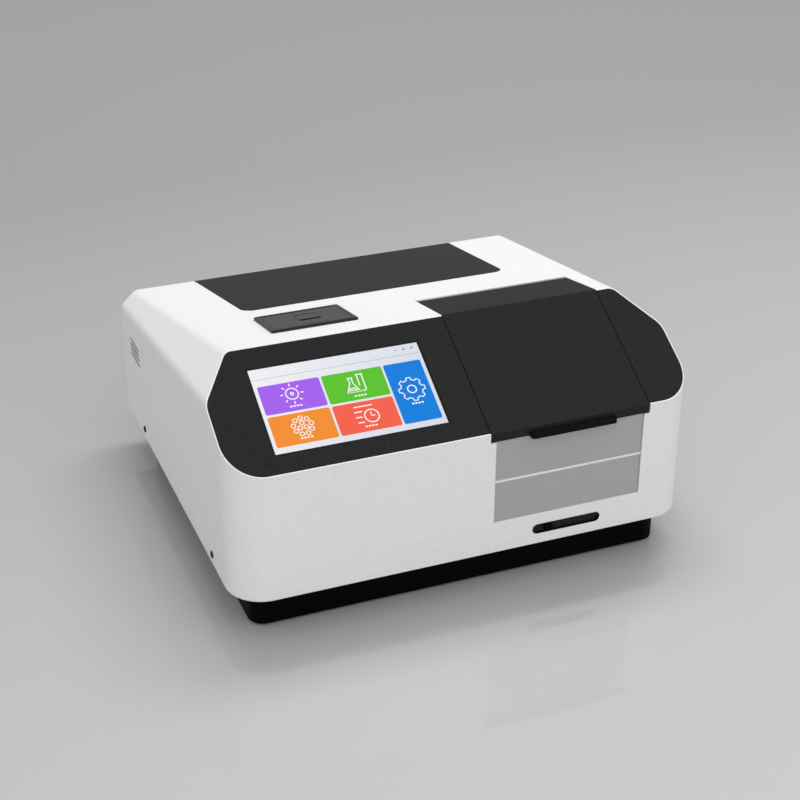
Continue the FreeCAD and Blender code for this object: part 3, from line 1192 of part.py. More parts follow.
def printer_door():
    """The printer's door, with a barrel at the back, ears for the platen and a hole for the tab."""
    wide = DOOR_WIDTH / 2
    under = PRINTER_RISE - DOOR_THICKNESS
    plate = block(-wide, wide, -DOOR_LENGTH / 2, DOOR_PIN_Y, under, PRINTER_RISE)
    barrel = along_x(DOOR_BARREL, -wide, wide, DOOR_PIN_Y, DOOR_PIN_Z)
    pieces = [plate, barrel]
    reach = PLATEN_SHAFT_RADIUS + EAR_MARGIN
    for side in (-1, 1):
        x0 = side * (PLATEN_LENGTH / 2 + FIT_GAP)
        x1 = x0 + side * EAR_THICKNESS
        pieces.append(block(min(x0, x1), max(x0, x1), PLATEN_Y - reach, PLATEN_Y + reach, PLATEN_Z - reach,
                            under))
    half = TAB_WIDTH / 2
    window = block(TAB_X - half, TAB_X + half, -TAB_LENGTH / 2, TAB_LENGTH / 2, under - OVERRUN,
                   PRINTER_RISE + OVERRUN)
    trunnions = half + TAB_PIVOT_LENGTH + FIT_GAP
    cuts = [window,
            along_x(TAB_PIVOT_RADIUS + RUNNING_GAP, TAB_X - trunnions, TAB_X + trunnions, TAB_PIVOT_Y,
                    TAB_PIVOT_Z),
            along_x(DOOR_PIN_RADIUS + RUNNING_GAP, -wide - OVERRUN, wide + OVERRUN, DOOR_PIN_Y, DOOR_PIN_Z),
            along_x(PLATEN_SHAFT_RADIUS + RUNNING_GAP, -wide, wide, PLATEN_Y, PLATEN_Z)]
    return placed(joined(pieces).cut(cuts), ON_PRINTER)


def door_pin():
    half = BUCKET_WIDTH / 2
    return placed(along_x(DOOR_PIN_RADIUS, -half, half, DOOR_PIN_Y, DOOR_PIN_Z), ON_PRINTER)


def printer_latch():
    """The pull tab in the door, on two small pivots, with a finger slot before it."""
    half = TAB_WIDTH / 2 - DOOR_GAP
    plate = block(TAB_X - half, TAB_X + half, TAB_SLOT - TAB_LENGTH / 2, TAB_PIVOT_Y,
                  PRINTER_RISE - TAB_THICKNESS, PRINTER_RISE)
    barrel = along_x(TAB_BARREL, TAB_X - half, TAB_X + half, TAB_PIVOT_Y, TAB_PIVOT_Z)
    reach = TAB_WIDTH / 2 + TAB_PIVOT_LENGTH
    pivots = along_x(TAB_PIVOT_RADIUS, TAB_X - reach, TAB_X + reach, TAB_PIVOT_Y, TAB_PIVOT_Z)
    return placed(joined([plate, barrel, pivots]), ON_PRINTER)


def platen_roller():
    """The rubber roller under the door's front edge, on its steel shaft."""
    half = PLATEN_LENGTH / 2
    reach = half + FIT_GAP + EAR_THICKNESS
    roller = along_x(PLATEN_RADIUS, -half, half, PLATEN_Y, PLATEN_Z)
    return placed(joined([roller, along_x(PLATEN_SHAFT_RADIUS, -reach, reach, PLATEN_Y, PLATEN_Z)]),
                  ON_PRINTER)


def paper_roll():
    """A roll of receipt paper, loose in the bucket."""
    half = PAPER_WIDTH / 2
    roll = along_x(PAPER_RADIUS, -half, half, PAPER_SETBACK, PAPER_Z)
    core = along_x(PAPER_CORE_RADIUS, -half - OVERRUN, half + OVERRUN, PAPER_SETBACK, PAPER_Z)
    return placed(roll.cut(core), ON_PRINTER)


def print_head():
    """The heating strip on the bucket's front wall, in front of the platen."""
    front = BUCKET_WALL - BUCKET_LENGTH / 2
    half = PAPER_WIDTH / 2
    return placed(block(-half, half, front, front + HEAD_THICKNESS, -HEAD_DROP - HEAD_HEIGHT, -HEAD_DROP),
                  ON_PRINTER)


PIECES = (outer_shell, base_plate, plinth, rubber_feet, foot_screws, side_screws, rear_panel, rear_screws,
          rear_cover, screen_fascia, side_fascia, screen_glass, display_module, display_bracket, lid,
          hinge_pin, hinge_brackets, bay_liner, bay_seal, upper_front_plate, lower_front_plate,
          plate_trim_strip, cuvette_holder, carriage_block, guide_rods, rod_supports, lever_arm, slot_shield,
          lever_knob, detector_housing, photodiode, optical_bench, lens_mount, condenser_lens, filter_wheel,
          colour_filters, wheel_motor, motor_bracket, lamp_house, lamp_socket, lamp_bulb, main_board,
          board_standoffs, board_parts, power_supply, fan_frame, fan_rotor, power_inlet, switch_housing,
          power_rocker, usb_ports, serial_port, printer_housing, printer_door, door_pin, printer_latch,
          platen_roller, paper_roll, print_head)

os.makedirs("parts", exist_ok=True)
for piece in PIECES:
    piece().exportStep(os.path.join("parts", piece.__name__ + ".step"))
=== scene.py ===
import json
import math

import bpy
from mathutils import Matrix, Quaternion, Vector


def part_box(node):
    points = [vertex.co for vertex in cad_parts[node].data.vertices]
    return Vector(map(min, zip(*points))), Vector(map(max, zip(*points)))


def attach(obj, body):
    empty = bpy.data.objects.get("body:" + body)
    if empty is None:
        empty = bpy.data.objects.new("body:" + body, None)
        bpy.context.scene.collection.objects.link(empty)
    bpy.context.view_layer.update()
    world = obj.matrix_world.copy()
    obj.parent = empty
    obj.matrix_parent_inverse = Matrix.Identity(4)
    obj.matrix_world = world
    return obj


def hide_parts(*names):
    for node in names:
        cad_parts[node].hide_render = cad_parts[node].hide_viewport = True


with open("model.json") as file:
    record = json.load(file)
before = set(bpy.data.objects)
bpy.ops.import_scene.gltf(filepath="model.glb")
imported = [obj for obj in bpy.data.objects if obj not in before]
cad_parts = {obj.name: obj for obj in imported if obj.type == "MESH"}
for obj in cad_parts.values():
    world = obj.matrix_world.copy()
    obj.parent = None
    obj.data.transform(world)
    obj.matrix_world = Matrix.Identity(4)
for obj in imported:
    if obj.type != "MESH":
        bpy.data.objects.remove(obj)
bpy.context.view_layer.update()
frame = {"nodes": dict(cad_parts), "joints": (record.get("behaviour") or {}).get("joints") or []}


# The casing is bent and welded steel sheet, 2 mm thick, in one shell from the front corners to the back.
# It is powder coated white after welding: fine powder melts to a satin skin with a tight grain.
# Round the vent slits the coat's colour is painted dark grey, as painted shade inside the slits.
def srgb(code):
    """A hex colour as the linear colour that the shaders take."""
    parts = [int(code[at:at + 2], 16) / 255 for at in (1, 3, 5)]
    linear = [part / 12.92 if part <= 0.04045 else ((part + 0.055) / 1.055) ** 2.4 for part in parts]
    return (*linear, 1.0)


def material(name, laid="Object"):
    """A material with a bare output, and the coordinates that its patterns are laid out in."""
    made = bpy.data.materials.new(name)
    made.use_nodes = True
    made.node_tree.nodes.clear()
    add(made, "OutputMaterial")
    return made, (add(made, "TexCoord"), laid)


def add(made, kind, inputs=None, **settings):
    """Adds a node. An input is a plain value, a node to link from, or a (node, output) pair.

    A material has one principled shader, which goes straight to its output."""
    node = made.node_tree.nodes.new("ShaderNode" + kind)
    for name, value in settings.items():
        setattr(node, name, value)
    for key, value in (inputs or {}).items():
        source = value if isinstance(value, tuple) else (value, 0)
        if isinstance(source[0], bpy.types.Node):
            made.node_tree.links.new(source[0].outputs[source[1]], node.inputs[key])
        else:
            node.inputs[key].default_value = value
    if kind == "BsdfPrincipled":
        made.node_tree.links.new(node.outputs[0], made.node_tree.get_output_node("ALL").inputs["Surface"])
    return node


def dress(made, *names):
    """Gives CAD nodes a material in place of their packed one."""
    for name in names:
        slots = frame["nodes"][name].data.materials
        slots.clear()
        slots.append(made)


SHARE, LOW, HIGH, MIXED = 0, 6, 7, 2  # a Mix node of colours: its three inputs and its result go by number
coat_grain = 0.0011  # powder grains are near 0.2 mm, drawn coarser so that they show
case_wall = 0.002
case_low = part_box("outer_shell")[0]
fan_low, fan_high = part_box("fan_frame")
slits = Vector((case_low.x + case_wall / 2, (fan_low.y + fan_high.y) / 2, (fan_low.z + fan_high.z) / 2))
slit_zone = (0.00095, 0.035, 0.030)  # half sizes of a flat ellipsoid within the wall, round all the slits
white_coat, where = material("white_powder_coat_on_steel")
grains = add(white_coat, "TexNoise", {"Vector": where, "Scale": 1 / coat_grain, "Detail": 2.0})
contrast = add(white_coat, "MapRange", {"Value": grains, "From Min": 0.32, "From Max": 0.68})
coat = add(white_coat, "Mix", {
    SHARE: contrast, LOW: srgb("#e9e9e8"), HIGH: srgb("#f6f6f5")}, data_type="RGBA")
from_slits = add(white_coat, "VectorMath", {0: where, 1: slits}, operation="SUBTRACT")
in_zone = add(white_coat, "VectorMath", {0: from_slits, 1: slit_zone}, operation="DIVIDE")
depth = add(white_coat, "VectorMath", {0: in_zone}, operation="LENGTH")
# painted shade: within the flat ellipsoid round the slits the coat's colour turns dark grey
painted_slit_shade = add(white_coat, "MapRange", {"Value": (depth, "Value"), "From Min": 1.0, "From Max": 0.97})
colour = add(white_coat, "Mix", {
    SHARE: painted_slit_shade, LOW: (coat, MIXED), HIGH: srgb("#4c4c4c")}, data_type="RGBA")
satin = add(white_coat, "MapRange", {"Value": grains, "To Min": 0.40, "To Max": 0.55})
soft_edge = add(white_coat, "Bevel", {"Radius": 0.0009}, samples=6)
relief = add(white_coat, "Bump", {
    "Strength": 0.10, "Distance": 0.0003, "Height": grains, "Normal": soft_edge})
add(white_coat, "BsdfPrincipled", {
    "Base Color": (colour, MIXED), "Roughness": satin, "IOR": 1.50, "Specular IOR Level": 0.15,
    "Normal": relief})
dress(white_coat, "outer_shell")


# The base is a folded plate of zinc plated steel that closes the casing from below.
# Rolled sheet comes bright and slightly streaked, and the zinc clouds it in patches.
# The brackets of the display and the motor and the box of the power supply are cut from the same sheet.
streak = 0.002
zinc_cloud = 0.02
rolled = (0.04, 1.0, 1.0)  # the streaks run along X
zinc, where = material("zinc_plated_sheet")
stretched = add(zinc, "Mapping", {"Vector": where, "Scale": rolled})
rolling = add(zinc, "TexNoise", {"Vector": stretched, "Scale": 1 / streak, "Detail": 3.0})
patches = add(zinc, "TexNoise", {"Vector": where, "Scale": 1 / zinc_cloud, "Detail": 2.0})
colour = add(zinc, "Mix", {SHARE: patches, LOW: srgb("#a4a7aa"), HIGH: srgb("#c3c5c6")}, data_type="RGBA")
sheen = add(zinc, "MapRange", {"Value": rolling, "To Min": 0.26, "To Max": 0.46})
soft_edge = add(zinc, "Bevel", {"Radius": 0.0003}, samples=4)
add(zinc, "BsdfPrincipled", {
    "Base Color": (colour, MIXED), "Metallic": 1.0, "Roughness": sheen, "Normal": soft_edge})
dress(zinc, "base_plate", "display_bracket", "motor_bracket", "power_supply")


# The plinth is a moulded tray of black ABS, drawn in under the casing so that it reads as a shadow.
# Its mould was spark eroded, which leaves an even and very dull grain.
# The knob of the sample changer is moulded in the same deep black.
moulded_grain = 0.0009  # spark grain is near 0.1 mm, drawn coarser so that it shows
deep_black, where = material("deep_black_abs_spark_grained")
grains = add(deep_black, "TexNoise", {"Vector": where, "Scale": 1 / moulded_grain, "Detail": 3.0})
colour = add(deep_black, "Mix", {
    SHARE: grains, LOW: srgb("#030303"), HIGH: srgb("#080808")}, data_type="RGBA")
matt = add(deep_black, "MapRange", {"Value": grains, "To Min": 0.42, "To Max": 0.60})
soft_edge = add(deep_black, "Bevel", {"Radius": 0.0005}, samples=4)
relief = add(deep_black, "Bump", {
    "Strength": 0.12, "Distance": 0.0002, "Height": grains, "Normal": soft_edge})
add(deep_black, "BsdfPrincipled", {
    "Base Color": (colour, MIXED), "Roughness": matt, "IOR": 1.53, "Specular IOR Level": 0.04,
    "Normal": relief})
dress(deep_black, "plinth", "lever_knob")


# Four round feet of black rubber are pressed in a mould, and each is held by one screw from below.
# Rubber is dull and picks up pale dust in its pores.
# The seal of the sample bay and the printer's roller are the same stuff.
pore = 0.0012  # pores are near 0.2 mm, drawn coarser so that they show
rubber, where = material("black_rubber")
pores = add(rubber, "TexNoise", {"Vector": where, "Scale": 1 / pore, "Detail": 4.0})
colour = add(rubber, "Mix", {SHARE: pores, LOW: srgb("#101010"), HIGH: srgb("#242423")}, data_type="RGBA")
relief = add(rubber, "Bump", {"Strength": 0.25, "Distance": 0.0002, "Height": pores})
add(rubber, "BsdfPrincipled", {
    "Base Color": (colour, MIXED), "Roughness": 0.78, "IOR": 1.52, "Normal": relief})
dress(rubber, "rubber_feet", "bay_seal", "platen_roller")


# The foot screws are steel pan heads with a hexagon socket, cold headed and then polished in a drum.
# They sit sunk in the feet, clear of the bench.
# Pins, rods, the changer's arm and the shells of the ports are bright steel too, with fine turning marks.
def ring(radius, steps, u=0.0, v=0.0):
    """Points round a circle."""
    turns = [math.tau * step / steps for step in range(steps)]
    return [(u + radius * math.cos(turn), v + radius * math.sin(turn)) for turn in turns]


def stand(name, data, made=None):
    """Puts a mesh, a lamp or a camera in the scene, in its material."""
    if made:
        data.materials.append(made)
    piece = bpy.data.objects.new(name, data)
    bpy.context.scene.collection.objects.link(piece)
    return piece


def loft(name, rings, places, made):
    """Skins rings of equal length into a closed form, once at each place, all in one piece."""
    points = []
    faces = []
    count = len(rings[0])
    for place in places:
        first = len(points)
        last = first + (len(rings) - 1) * count
        points += [place @ Vector(point) for level in rings for point in level]
        for start in range(first, last, count):
            for step in range(count):
                near = start + step
                beside = start + (step + 1) % count
                faces.append((near, beside, beside + count, near + count))
        faces.append(tuple(reversed(range(first, first + count))))
        faces.append(tuple(range(last, last + count)))
    mesh = bpy.data.meshes.new(name)
    mesh.from_pydata(points, [], faces)
    mesh.shade_smooth()
    mesh.set_sharp_from_angle(angle=math.radians(32))
    return stand(name, mesh, made)


def screw(head, height, shank, length):
    """The rings of a domed screw with a hexagon socket, from the shank's end to the socket's floor."""
    steps = 48
    six = [1 / math.cos(math.tau * step / steps % math.radians(60) - math.radians(30))
           for step in range(steps)]

    def level(radius, z, shape=(1.0,) * steps):
        return [(u * far, v * far, z) for (u, v), far in zip(ring(radius, steps), shape)]

    flat, rim, socket = head * 0.62, height * 0.15, head * 0.36
    rings = [level(shank * 0.8, -length), level(shank, -length * 0.92), level(shank, 0),
             level(head * 0.97, 0)]
    for lean in [math.radians(15 * step) for step in range(7)]:
        rings.append(level(flat + (head - flat) * math.cos(lean), rim + (height - rim) * math.sin(lean)))
    for radius, z in ((socket * 1.08, height), (socket, height * 0.9), (socket, height * 0.35)):
        rings.append(level(radius, z, six))
    return rings


foot_low, foot_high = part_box("rubber_feet")
foot_radius = 0.012
foot_sink = foot_high.z / 2
foot_places = [Matrix.Translation((x, y, foot_sink)) @ Matrix.Rotation(math.pi, 4, "X")
               for x in (foot_low.x + foot_radius, foot_high.x - foot_radius)
               for y in (foot_low.y + foot_radius, foot_high.y - foot_radius)]
turning_mark = 0.0006  # near 0.1 mm, drawn coarser so that it shows
turned_round = (1.0, 0.06, 1.0)
bright_steel, where = material("bright_steel")
turned = add(bright_steel, "Mapping", {"Vector": where, "Scale": turned_round})
marks = add(bright_steel, "TexNoise", {"Vector": turned, "Scale": 1 / turning_mark, "Detail": 3.0})
colour = add(bright_steel, "Mix", {
    SHARE: marks, LOW: srgb("#a9abad"), HIGH: srgb("#cfd0d0")}, data_type="RGBA")
sheen = add(bright_steel, "MapRange", {"Value": marks, "To Min": 0.18, "To Max": 0.36})
add(bright_steel, "BsdfPrincipled", {"Base Color": (colour, MIXED), "Metallic": 1.0, "Roughness": sheen})
foot_rings = screw(head=0.004, height=0.0012, shank=0.002, length=0.009)
foot_screws = loft("foot_screw_set", foot_rings, foot_places, bright_steel)
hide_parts("foot_screws")
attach(foot_screws, "analyzer")
dress(bright_steel, "hinge_pin", "guide_rods", "lever_arm", "board_standoffs", "usb_ports", "serial_port",
      "door_pin", "wheel_motor")


# Four black screws hold the casing's side walls to the base, and five hold the panel and cover on the back.
# They are steel with a blackened, oiled skin, so a socket's rim shines a little where a key has rubbed it.
worn_patch = 0.0015
black_oxide, where = material("blackened_steel")
worn = add(black_oxide, "TexNoise", {"Vector": where, "Scale": 1 / worn_patch, "Detail": 4.0})
colour = add(black_oxide, "Mix", {SHARE: worn, LOW: srgb("#141415"), HIGH: srgb("#303032")}, data_type="RGBA")
sheen = add(black_oxide, "MapRange", {"Value": worn, "To Min": 0.32, "To Max": 0.52})
add(black_oxide, "BsdfPrincipled", {"Base Color": (colour, MIXED), "Metallic": 0.6, "Roughness": sheen})
screw_head = 0.0034
screw_height = 0.0012
screw_rings = screw(screw_head, screw_height, shank=0.0015, length=0.007)
side_low, side_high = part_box("side_screws")
side_z = (side_low.z + side_high.z) / 2
side_places = []
for side, wall_x in ((-1, side_low.x + screw_height), (1, side_high.x - screw_height)):
    for y in (side_low.y + screw_head, side_high.y - screw_head):
        side_places.append(Matrix.Translation((wall_x, y, side_z))
                           @ Matrix.Rotation(side * math.pi / 2, 4, "Y"))
rear_low, rear_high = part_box("rear_screws")
cover_seat = rear_high.y - screw_height
cover_flange = 0.0015
cover_spacing = 0.18
rear_spots = []
for x in (rear_low.x + screw_head, (rear_low.x + rear_high.x) / 2, rear_high.x - screw_head):
    rear_spots.append((x, cover_seat - cover_flange, rear_low.z + screw_head))
for x in (-cover_spacing / 2, cover_spacing / 2):
    rear_spots.append((x, cover_seat, rear_high.z - screw_head))
out_back = Matrix.Rotation(-math.pi / 2, 4, "X")
rear_places = [Matrix.Translation(spot) @ out_back for spot in rear_spots]
for name, node, places in (("side_screw_set", "side_screws", side_places),
                           ("rear_screw_set", "rear_screws", rear_places)):
    screws = loft(name, screw_rings, places, black_oxide)
    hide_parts(node)
    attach(screws, "analyzer")


# The sloping front is two plates of charcoal ABS in a recess of the casing, left and right of the lid.
# The lid is moulded in the same grained plastic and hangs on a pin. Edges that hands touch are rubbed paler.
# In front of the casing, the lip that fingers lift is painted near black: painted shade of its cove and
# underside.
panel_grain = 0.0012  # near 0.15 mm on the real plate, drawn coarser so that it shows
lip_shade_start, lip_shade_end = case_low.y - 0.0002, case_low.y - 0.0008
charcoal_abs, where = material("charcoal_abs_grained")
grains = add(charcoal_abs, "TexNoise", {"Vector": where, "Scale": 1 / panel_grain, "Detail": 2.0})
contrast = add(charcoal_abs, "MapRange", {"Value": grains, "From Min": 0.32, "From Max": 0.68})
colour = add(charcoal_abs, "Mix", {
    SHARE: contrast, LOW: srgb("#202020"), HIGH: srgb("#2c2c2c")}, data_type="RGBA")
soft_edge = add(charcoal_abs, "Bevel", {"Radius": 0.0006}, samples=4)
face = add(charcoal_abs, "NewGeometry")
turned = add(charcoal_abs, "VectorMath", {0: soft_edge, 1: (face, "Normal")}, operation="DOT_PRODUCT")
rubbed = add(charcoal_abs, "MapRange", {
    "Value": (turned, "Value"), "From Min": 0.98, "From Max": 0.75, "To Max": 0.6})
edged = add(charcoal_abs, "Mix", {
    SHARE: rubbed, LOW: (colour, MIXED), HIGH: srgb("#353535")}, data_type="RGBA")
spread = add(charcoal_abs, "SeparateXYZ", {"Vector": where})
# painted shade: in front of the casing the lid's lip is coloured near black
painted_lip_shade = add(charcoal_abs, "MapRange", {"Value": (spread, "Y"), "From Min": lip_shade_start, "From Max": lip_shade_end})
lip_shaded_colour = add(charcoal_abs, "Mix", {
    SHARE: painted_lip_shade, LOW: (edged, MIXED), HIGH: srgb("#0c0c0c")}, data_type="RGBA")
matt = add(charcoal_abs, "MapRange", {"Value": grains, "To Min": 0.46, "To Max": 0.62})
relief = add(charcoal_abs, "Bump", {
    "Strength": 0.12, "Distance": 0.0003, "Height": grains, "Normal": soft_edge})
add(charcoal_abs, "BsdfPrincipled", {
    "Base Color": (lip_shaded_colour, MIXED), "Roughness": matt, "IOR": 1.50, "Specular IOR Level": 0.09,
    "Normal": relief})
dress(charcoal_abs, "screen_fascia", "side_fascia", "lid")


# Under the lid lies the tub of the sample bay, between the two blocks that carry the lid's hinge pin.
# They are moulded in black ABS, and so are the fan, the sockets on the back and the parts on the board.
# Their moulds were only lightly etched, so the plastic has a soft gloss that shows its inner corners.
black_abs, where = material("black_abs_moulded")
grains = add(black_abs, "TexNoise", {"Vector": where, "Scale": 1 / moulded_grain, "Detail": 3.0})
colour = add(black_abs, "Mix", {SHARE: grains, LOW: srgb("#0f0f0f"), HIGH: srgb("#191919")}, data_type="RGBA")
matt = add(black_abs, "MapRange", {"Value": grains, "To Min": 0.34, "To Max": 0.50})
soft_edge = add(black_abs, "Bevel", {"Radius": 0.0005}, samples=4)
relief = add(black_abs, "Bump", {"Strength": 0.10, "Distance": 0.0002, "Height": grains, "Normal": soft_edge})
add(black_abs, "BsdfPrincipled", {
    "Base Color": (colour, MIXED), "Roughness": matt, "IOR": 1.53, "Specular IOR Level": 0.45,
    "Normal": relief})
dress(black_abs, "hinge_brackets", "bay_liner", "board_parts", "fan_frame", "fan_rotor", "switch_housing",
      "power_inlet")


# The screen is a 7 inch liquid crystal panel behind a thin sheet of touch glass, flush with the front.
# The float glass has a coat against reflections, which is drawn as a low IOR, and a few faint finger smudges.
glass_seat = 0.003
front_rise, front_run = 0.0628, 0.1106
slope = math.atan2(front_rise, front_run)
glass_low, glass_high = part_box("screen_glass")
screen = (Matrix.Translation((glass_low + glass_high) / 2) @ Matrix.Rotation(slope, 4, "X")
          @ Matrix.Translation((0, 0, glass_seat / 2)))
half_wide = (glass_high.x - glass_low.x) / 2
half_tall = ((glass_high.z - glass_low.z) - glass_seat * math.cos(slope)) / math.sin(slope) / 2


def rounded(left, right, low, high, radius):
    """A rectangle's outline with round corners."""
    outline = []
    for u, v, first in ((right - radius, high - radius, 0), (left + radius, high - radius, 90),
                        (left + radius, low + radius, 180), (right - radius, low + radius, 270)):
        for step in range(7):
            angle = math.radians(first + 15 * step)
            outline.append((u + radius * math.cos(angle), v + radius * math.sin(angle)))
    return outline


def drawn_in(inset, corner):
    """The outline of the screen's window, drawn in from its edge."""
    return rounded(inset - half_wide, half_wide - inset, inset - half_tall, half_tall - inset, corner)


def traced(name, lines, closed, **settings):
    """A mesh that a curve's fill or bevel makes of straight lines."""
    curve = bpy.data.curves.new(name, "CURVE")
    for key, value in settings.items():
        setattr(curve, key, value)
    for line in lines:
        spline = curve.splines.new("POLY")
        spline.points.add(len(line) - 1)
        for point, (u, v) in zip(spline.points, line):
            point.co = (u, v, 0, 1)
        spline.use_cyclic_u = closed
    drawn = bpy.data.objects.new(name, curve)
    mesh = bpy.data.meshes.new_from_object(drawn)
    bpy.data.objects.remove(drawn)
    return mesh


def sheet(name, outlines, low, high, place, made):
    """A flat piece between two heights, filled within its first outline and open within the others."""
    mesh = traced(name, outlines, True, dimensions="2D", fill_mode="BOTH", extrude=(high - low) / 2)
    mesh.transform(place @ Matrix.Translation((0, 0, (low + high) / 2)))
    return stand(name, mesh, made)


gasket = 0.0004
glass_back = -0.0008
glass_corner = 0.0004
smudge = 0.03
touch_glass, where = material("touch_glass")
smudges = add(touch_glass, "TexNoise", {"Vector": where, "Scale": 1 / smudge, "Detail": 3.0})
clean = add(touch_glass, "MapRange", {
    "Value": smudges, "From Min": 0.4, "From Max": 0.8, "To Min": 0.02, "To Max": 0.07})
add(touch_glass, "BsdfPrincipled", {
    "Base Color": srgb("#fcfcfc"), "Roughness": clean, "IOR": 1.16, "Transmission Weight": 1.0})
glass = sheet("screen_touch_glass", [drawn_in(gasket, glass_corner)], glass_back, 0, screen, touch_glass)
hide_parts("screen_glass")
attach(glass, "analyzer")


# A thin gasket of black rubber, cut from sheet, fills the gap between the glass and the edge of the window.
# It stands just below the glass, so it reads as a fine dark line round it.
window_corner = 0.0006
gasket_face = -0.0001
seal = sheet("screen_gasket", [drawn_in(0, window_corner), drawn_in(gasket, glass_corner)], glass_back,
             gasket_face, screen, rubber)
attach(seal, "analyzer")


# Behind the glass a black mask frames the picture, as it does on any such panel.
# It is screen printed ink, flat and even but for the mesh of the screen.
mask_edge = 0.0009
mask_face = -0.00085
panel_back = -0.00295
picture_corner = 0.0003
print_dot = 0.0008  # the mesh is near 0.1 mm, drawn coarser so that it shows
mask_ink, where = material("black_mask_ink")
dots = add(mask_ink, "TexNoise", {"Vector": where, "Scale": 1 / print_dot, "Detail": 2.0})
colour = add(mask_ink, "Mix", {SHARE: dots, LOW: srgb("#050505"), HIGH: srgb("#0b0b0c")}, data_type="RGBA")
add(mask_ink, "BsdfPrincipled", {"Base Color": (colour, MIXED), "Roughness": 0.4})
mask = sheet("screen_mask", [drawn_in(0, window_corner), drawn_in(mask_edge, picture_corner)], panel_back,
             mask_face, screen, mask_ink)
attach(mask, "analyzer")


# The lit picture is a plain menu on a liquid crystal panel with a lamp behind it.
# Its background is white, with a soft lavender band that leans from the bottom to the top right.
# The band lies in the picture's own square from 0 to 1, so its sizes are shares of the picture.
picture_face = -0.0012
band_lean, band_middle, band_rag = -0.3, 0.46, 0.3
lit = {"Base Color": srgb("#050505"), "Specular IOR Level": 0.0, "Emission Strength": 1.02}
picture_glow, where = material("lit_menu_background", "Generated")
mist = add(picture_glow, "TexNoise", {"Vector": where, "Scale": 2.2, "Detail": 1.0})
spread = add(picture_glow, "SeparateXYZ", {"Vector": where})
lean = add(picture_glow, "Math", {0: (spread, "Y"), 1: band_lean, 2: (spread, "X")}, operation="MULTIPLY_ADD")
aside = add(picture_glow, "Math", {0: lean, 1: band_middle}, operation="SUBTRACT")
reach = add(picture_glow, "Math", {0: aside}, operation="ABSOLUTE")
ragged = add(picture_glow, "Math", {0: mist, 1: band_rag, 2: reach}, operation="MULTIPLY_ADD")
share = add(picture_glow, "MapRange", {"Value": ragged, "From Min": 0.42, "From Max": 0.12})
colour = add(picture_glow, "Mix", {
    SHARE: share, LOW: srgb("#ffffff"), HIGH: srgb("#bcc5d8")}, data_type="RGBA")
add(picture_glow, "BsdfPrincipled", {**lit, "Emission Color": (colour, MIXED)})
picture = sheet("screen_picture", [drawn_in(mask_edge, picture_corner)], panel_back, picture_face, screen,
                picture_glow)
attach(picture, "analyzer")


# The menu has five coloured tiles with round corners. It is drawn in millimetres, from the screen's middle.
# Each tile's light falls off a little towards its foot.
menu = screen @ Matrix.Scale(0.001, 4)
tile_back, tile_face, tile_corner = -1.2, -1.1, 1.8
foot_light = 0.93
tiles = {
    "purple": ("#ab66f6", -73.0, -19.0, -4.2, 24.4),
    "green": ("#62c832", -17.0, 37.0, -4.6, 24.4),
    "orange": ("#f59034", -73.0, -19.0, -36.2, -6.4),
    "coral": ("#f6634e", -17.0, 37.0, -36.2, -6.8),
    "blue": ("#1482e2", 38.9, 73.0, -36.2, 24.4),
}
for name, (code, left, right, low, high) in tiles.items():
    glow, where = material("lit_tile_" + name, "Generated")
    spread = add(glow, "SeparateXYZ", {"Vector": where})
    bright = srgb(code)
    dim = (*(part * foot_light for part in bright[:3]), 1.0)
    colour = add(glow, "Mix", {SHARE: (spread, "Y"), LOW: dim, HIGH: bright}, data_type="RGBA")
    add(glow, "BsdfPrincipled", {**lit, "Emission Color": (colour, MIXED)})
    tile = sheet("menu_tile_" + name, [rounded(left, right, low, high, tile_corner)], tile_back, tile_face,
                 menu, glow)
    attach(tile, "analyzer")


# Each tile has a white line drawing: a sun, a flask with a tube, a gear, a patch of cells and a clock.
# They are flat strokes just above the tiles, as lit as the background, with a faint grain of the cells.
def loop(u, v, radius):
    """A closed line round a middle."""
    points = ring(radius, 40, u, v)
    return points + points[:1]


def drawing(name, lines, width, made):
    """Lines on the menu: flat strokes just above the tiles."""
    thick, rise = 0.1, -1.04
    mesh = traced(name, lines, False, dimensions="3D", bevel_depth=width / 2, bevel_resolution=2,
                  use_fill_caps=True)
    mesh.transform(menu @ Matrix.Translation((0, 0, rise)) @ Matrix.Diagonal((1, 1, thick / width, 1)))
    piece = stand(name, mesh, made)
    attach(piece, "analyzer")


pixel = 0.0008  # a cell of the panel is near 0.2 mm, drawn coarser so that it shows
line_glow, where = material("lit_white_lines")
pixels = add(line_glow, "TexNoise", {"Vector": where, "Scale": 1 / pixel})
colour = add(line_glow, "Mix", {SHARE: pixels, LOW: srgb("#f6f6f6"), HIGH: srgb("#ffffff")}, data_type="RGBA")
add(line_glow, "BsdfPrincipled", {**lit, "Emission Color": (colour, MIXED)})

stroke = 1.05
sun_u, sun_v = -45.7, 12.6
ray_start, ray_end = 7.6, 10.2
sun = [loop(sun_u, sun_v, 5.4), loop(sun_u, sun_v, 1.2)]
for turn in [math.radians(45 * step) for step in range(8)]:
    sun.append([(sun_u + far * math.cos(turn), sun_v + far * math.sin(turn)) for far in (ray_start, ray_end)])
drawing("drawing_sun", sun, stroke, line_glow)

flask_u, flask_v = 6.7, 10.6
flask = [[(-1.4, 7.0), (-1.4, 1.8), (-6.0, -7.2), (6.0, -7.2), (1.4, 1.8), (1.4, 7.0)],
         [(-2.6, 7.2), (2.6, 7.2)], [(-3.8, -3.2), (3.8, -3.2)], [(-4.6, -5.2), (4.6, -5.2)]]
tube_u, tube_v, tube_radius = 8.9, -5.0, 2.2
tube = [[(5.7, 9.6), (12.1, 9.6)], [(6.7, 9.4), (6.7, -1.8)], [(11.1, 9.4), (11.1, tube_v)]]
tube.append([(tube_u + tube_radius * math.cos(math.radians(15 * step)),
              tube_v + tube_radius * math.sin(math.radians(15 * step))) for step in range(15, 25)])
flask = [[(flask_u + u, flask_v + v) for u, v in path] for path in flask + tube]
drawing("drawing_flask", flask, stroke, line_glow)

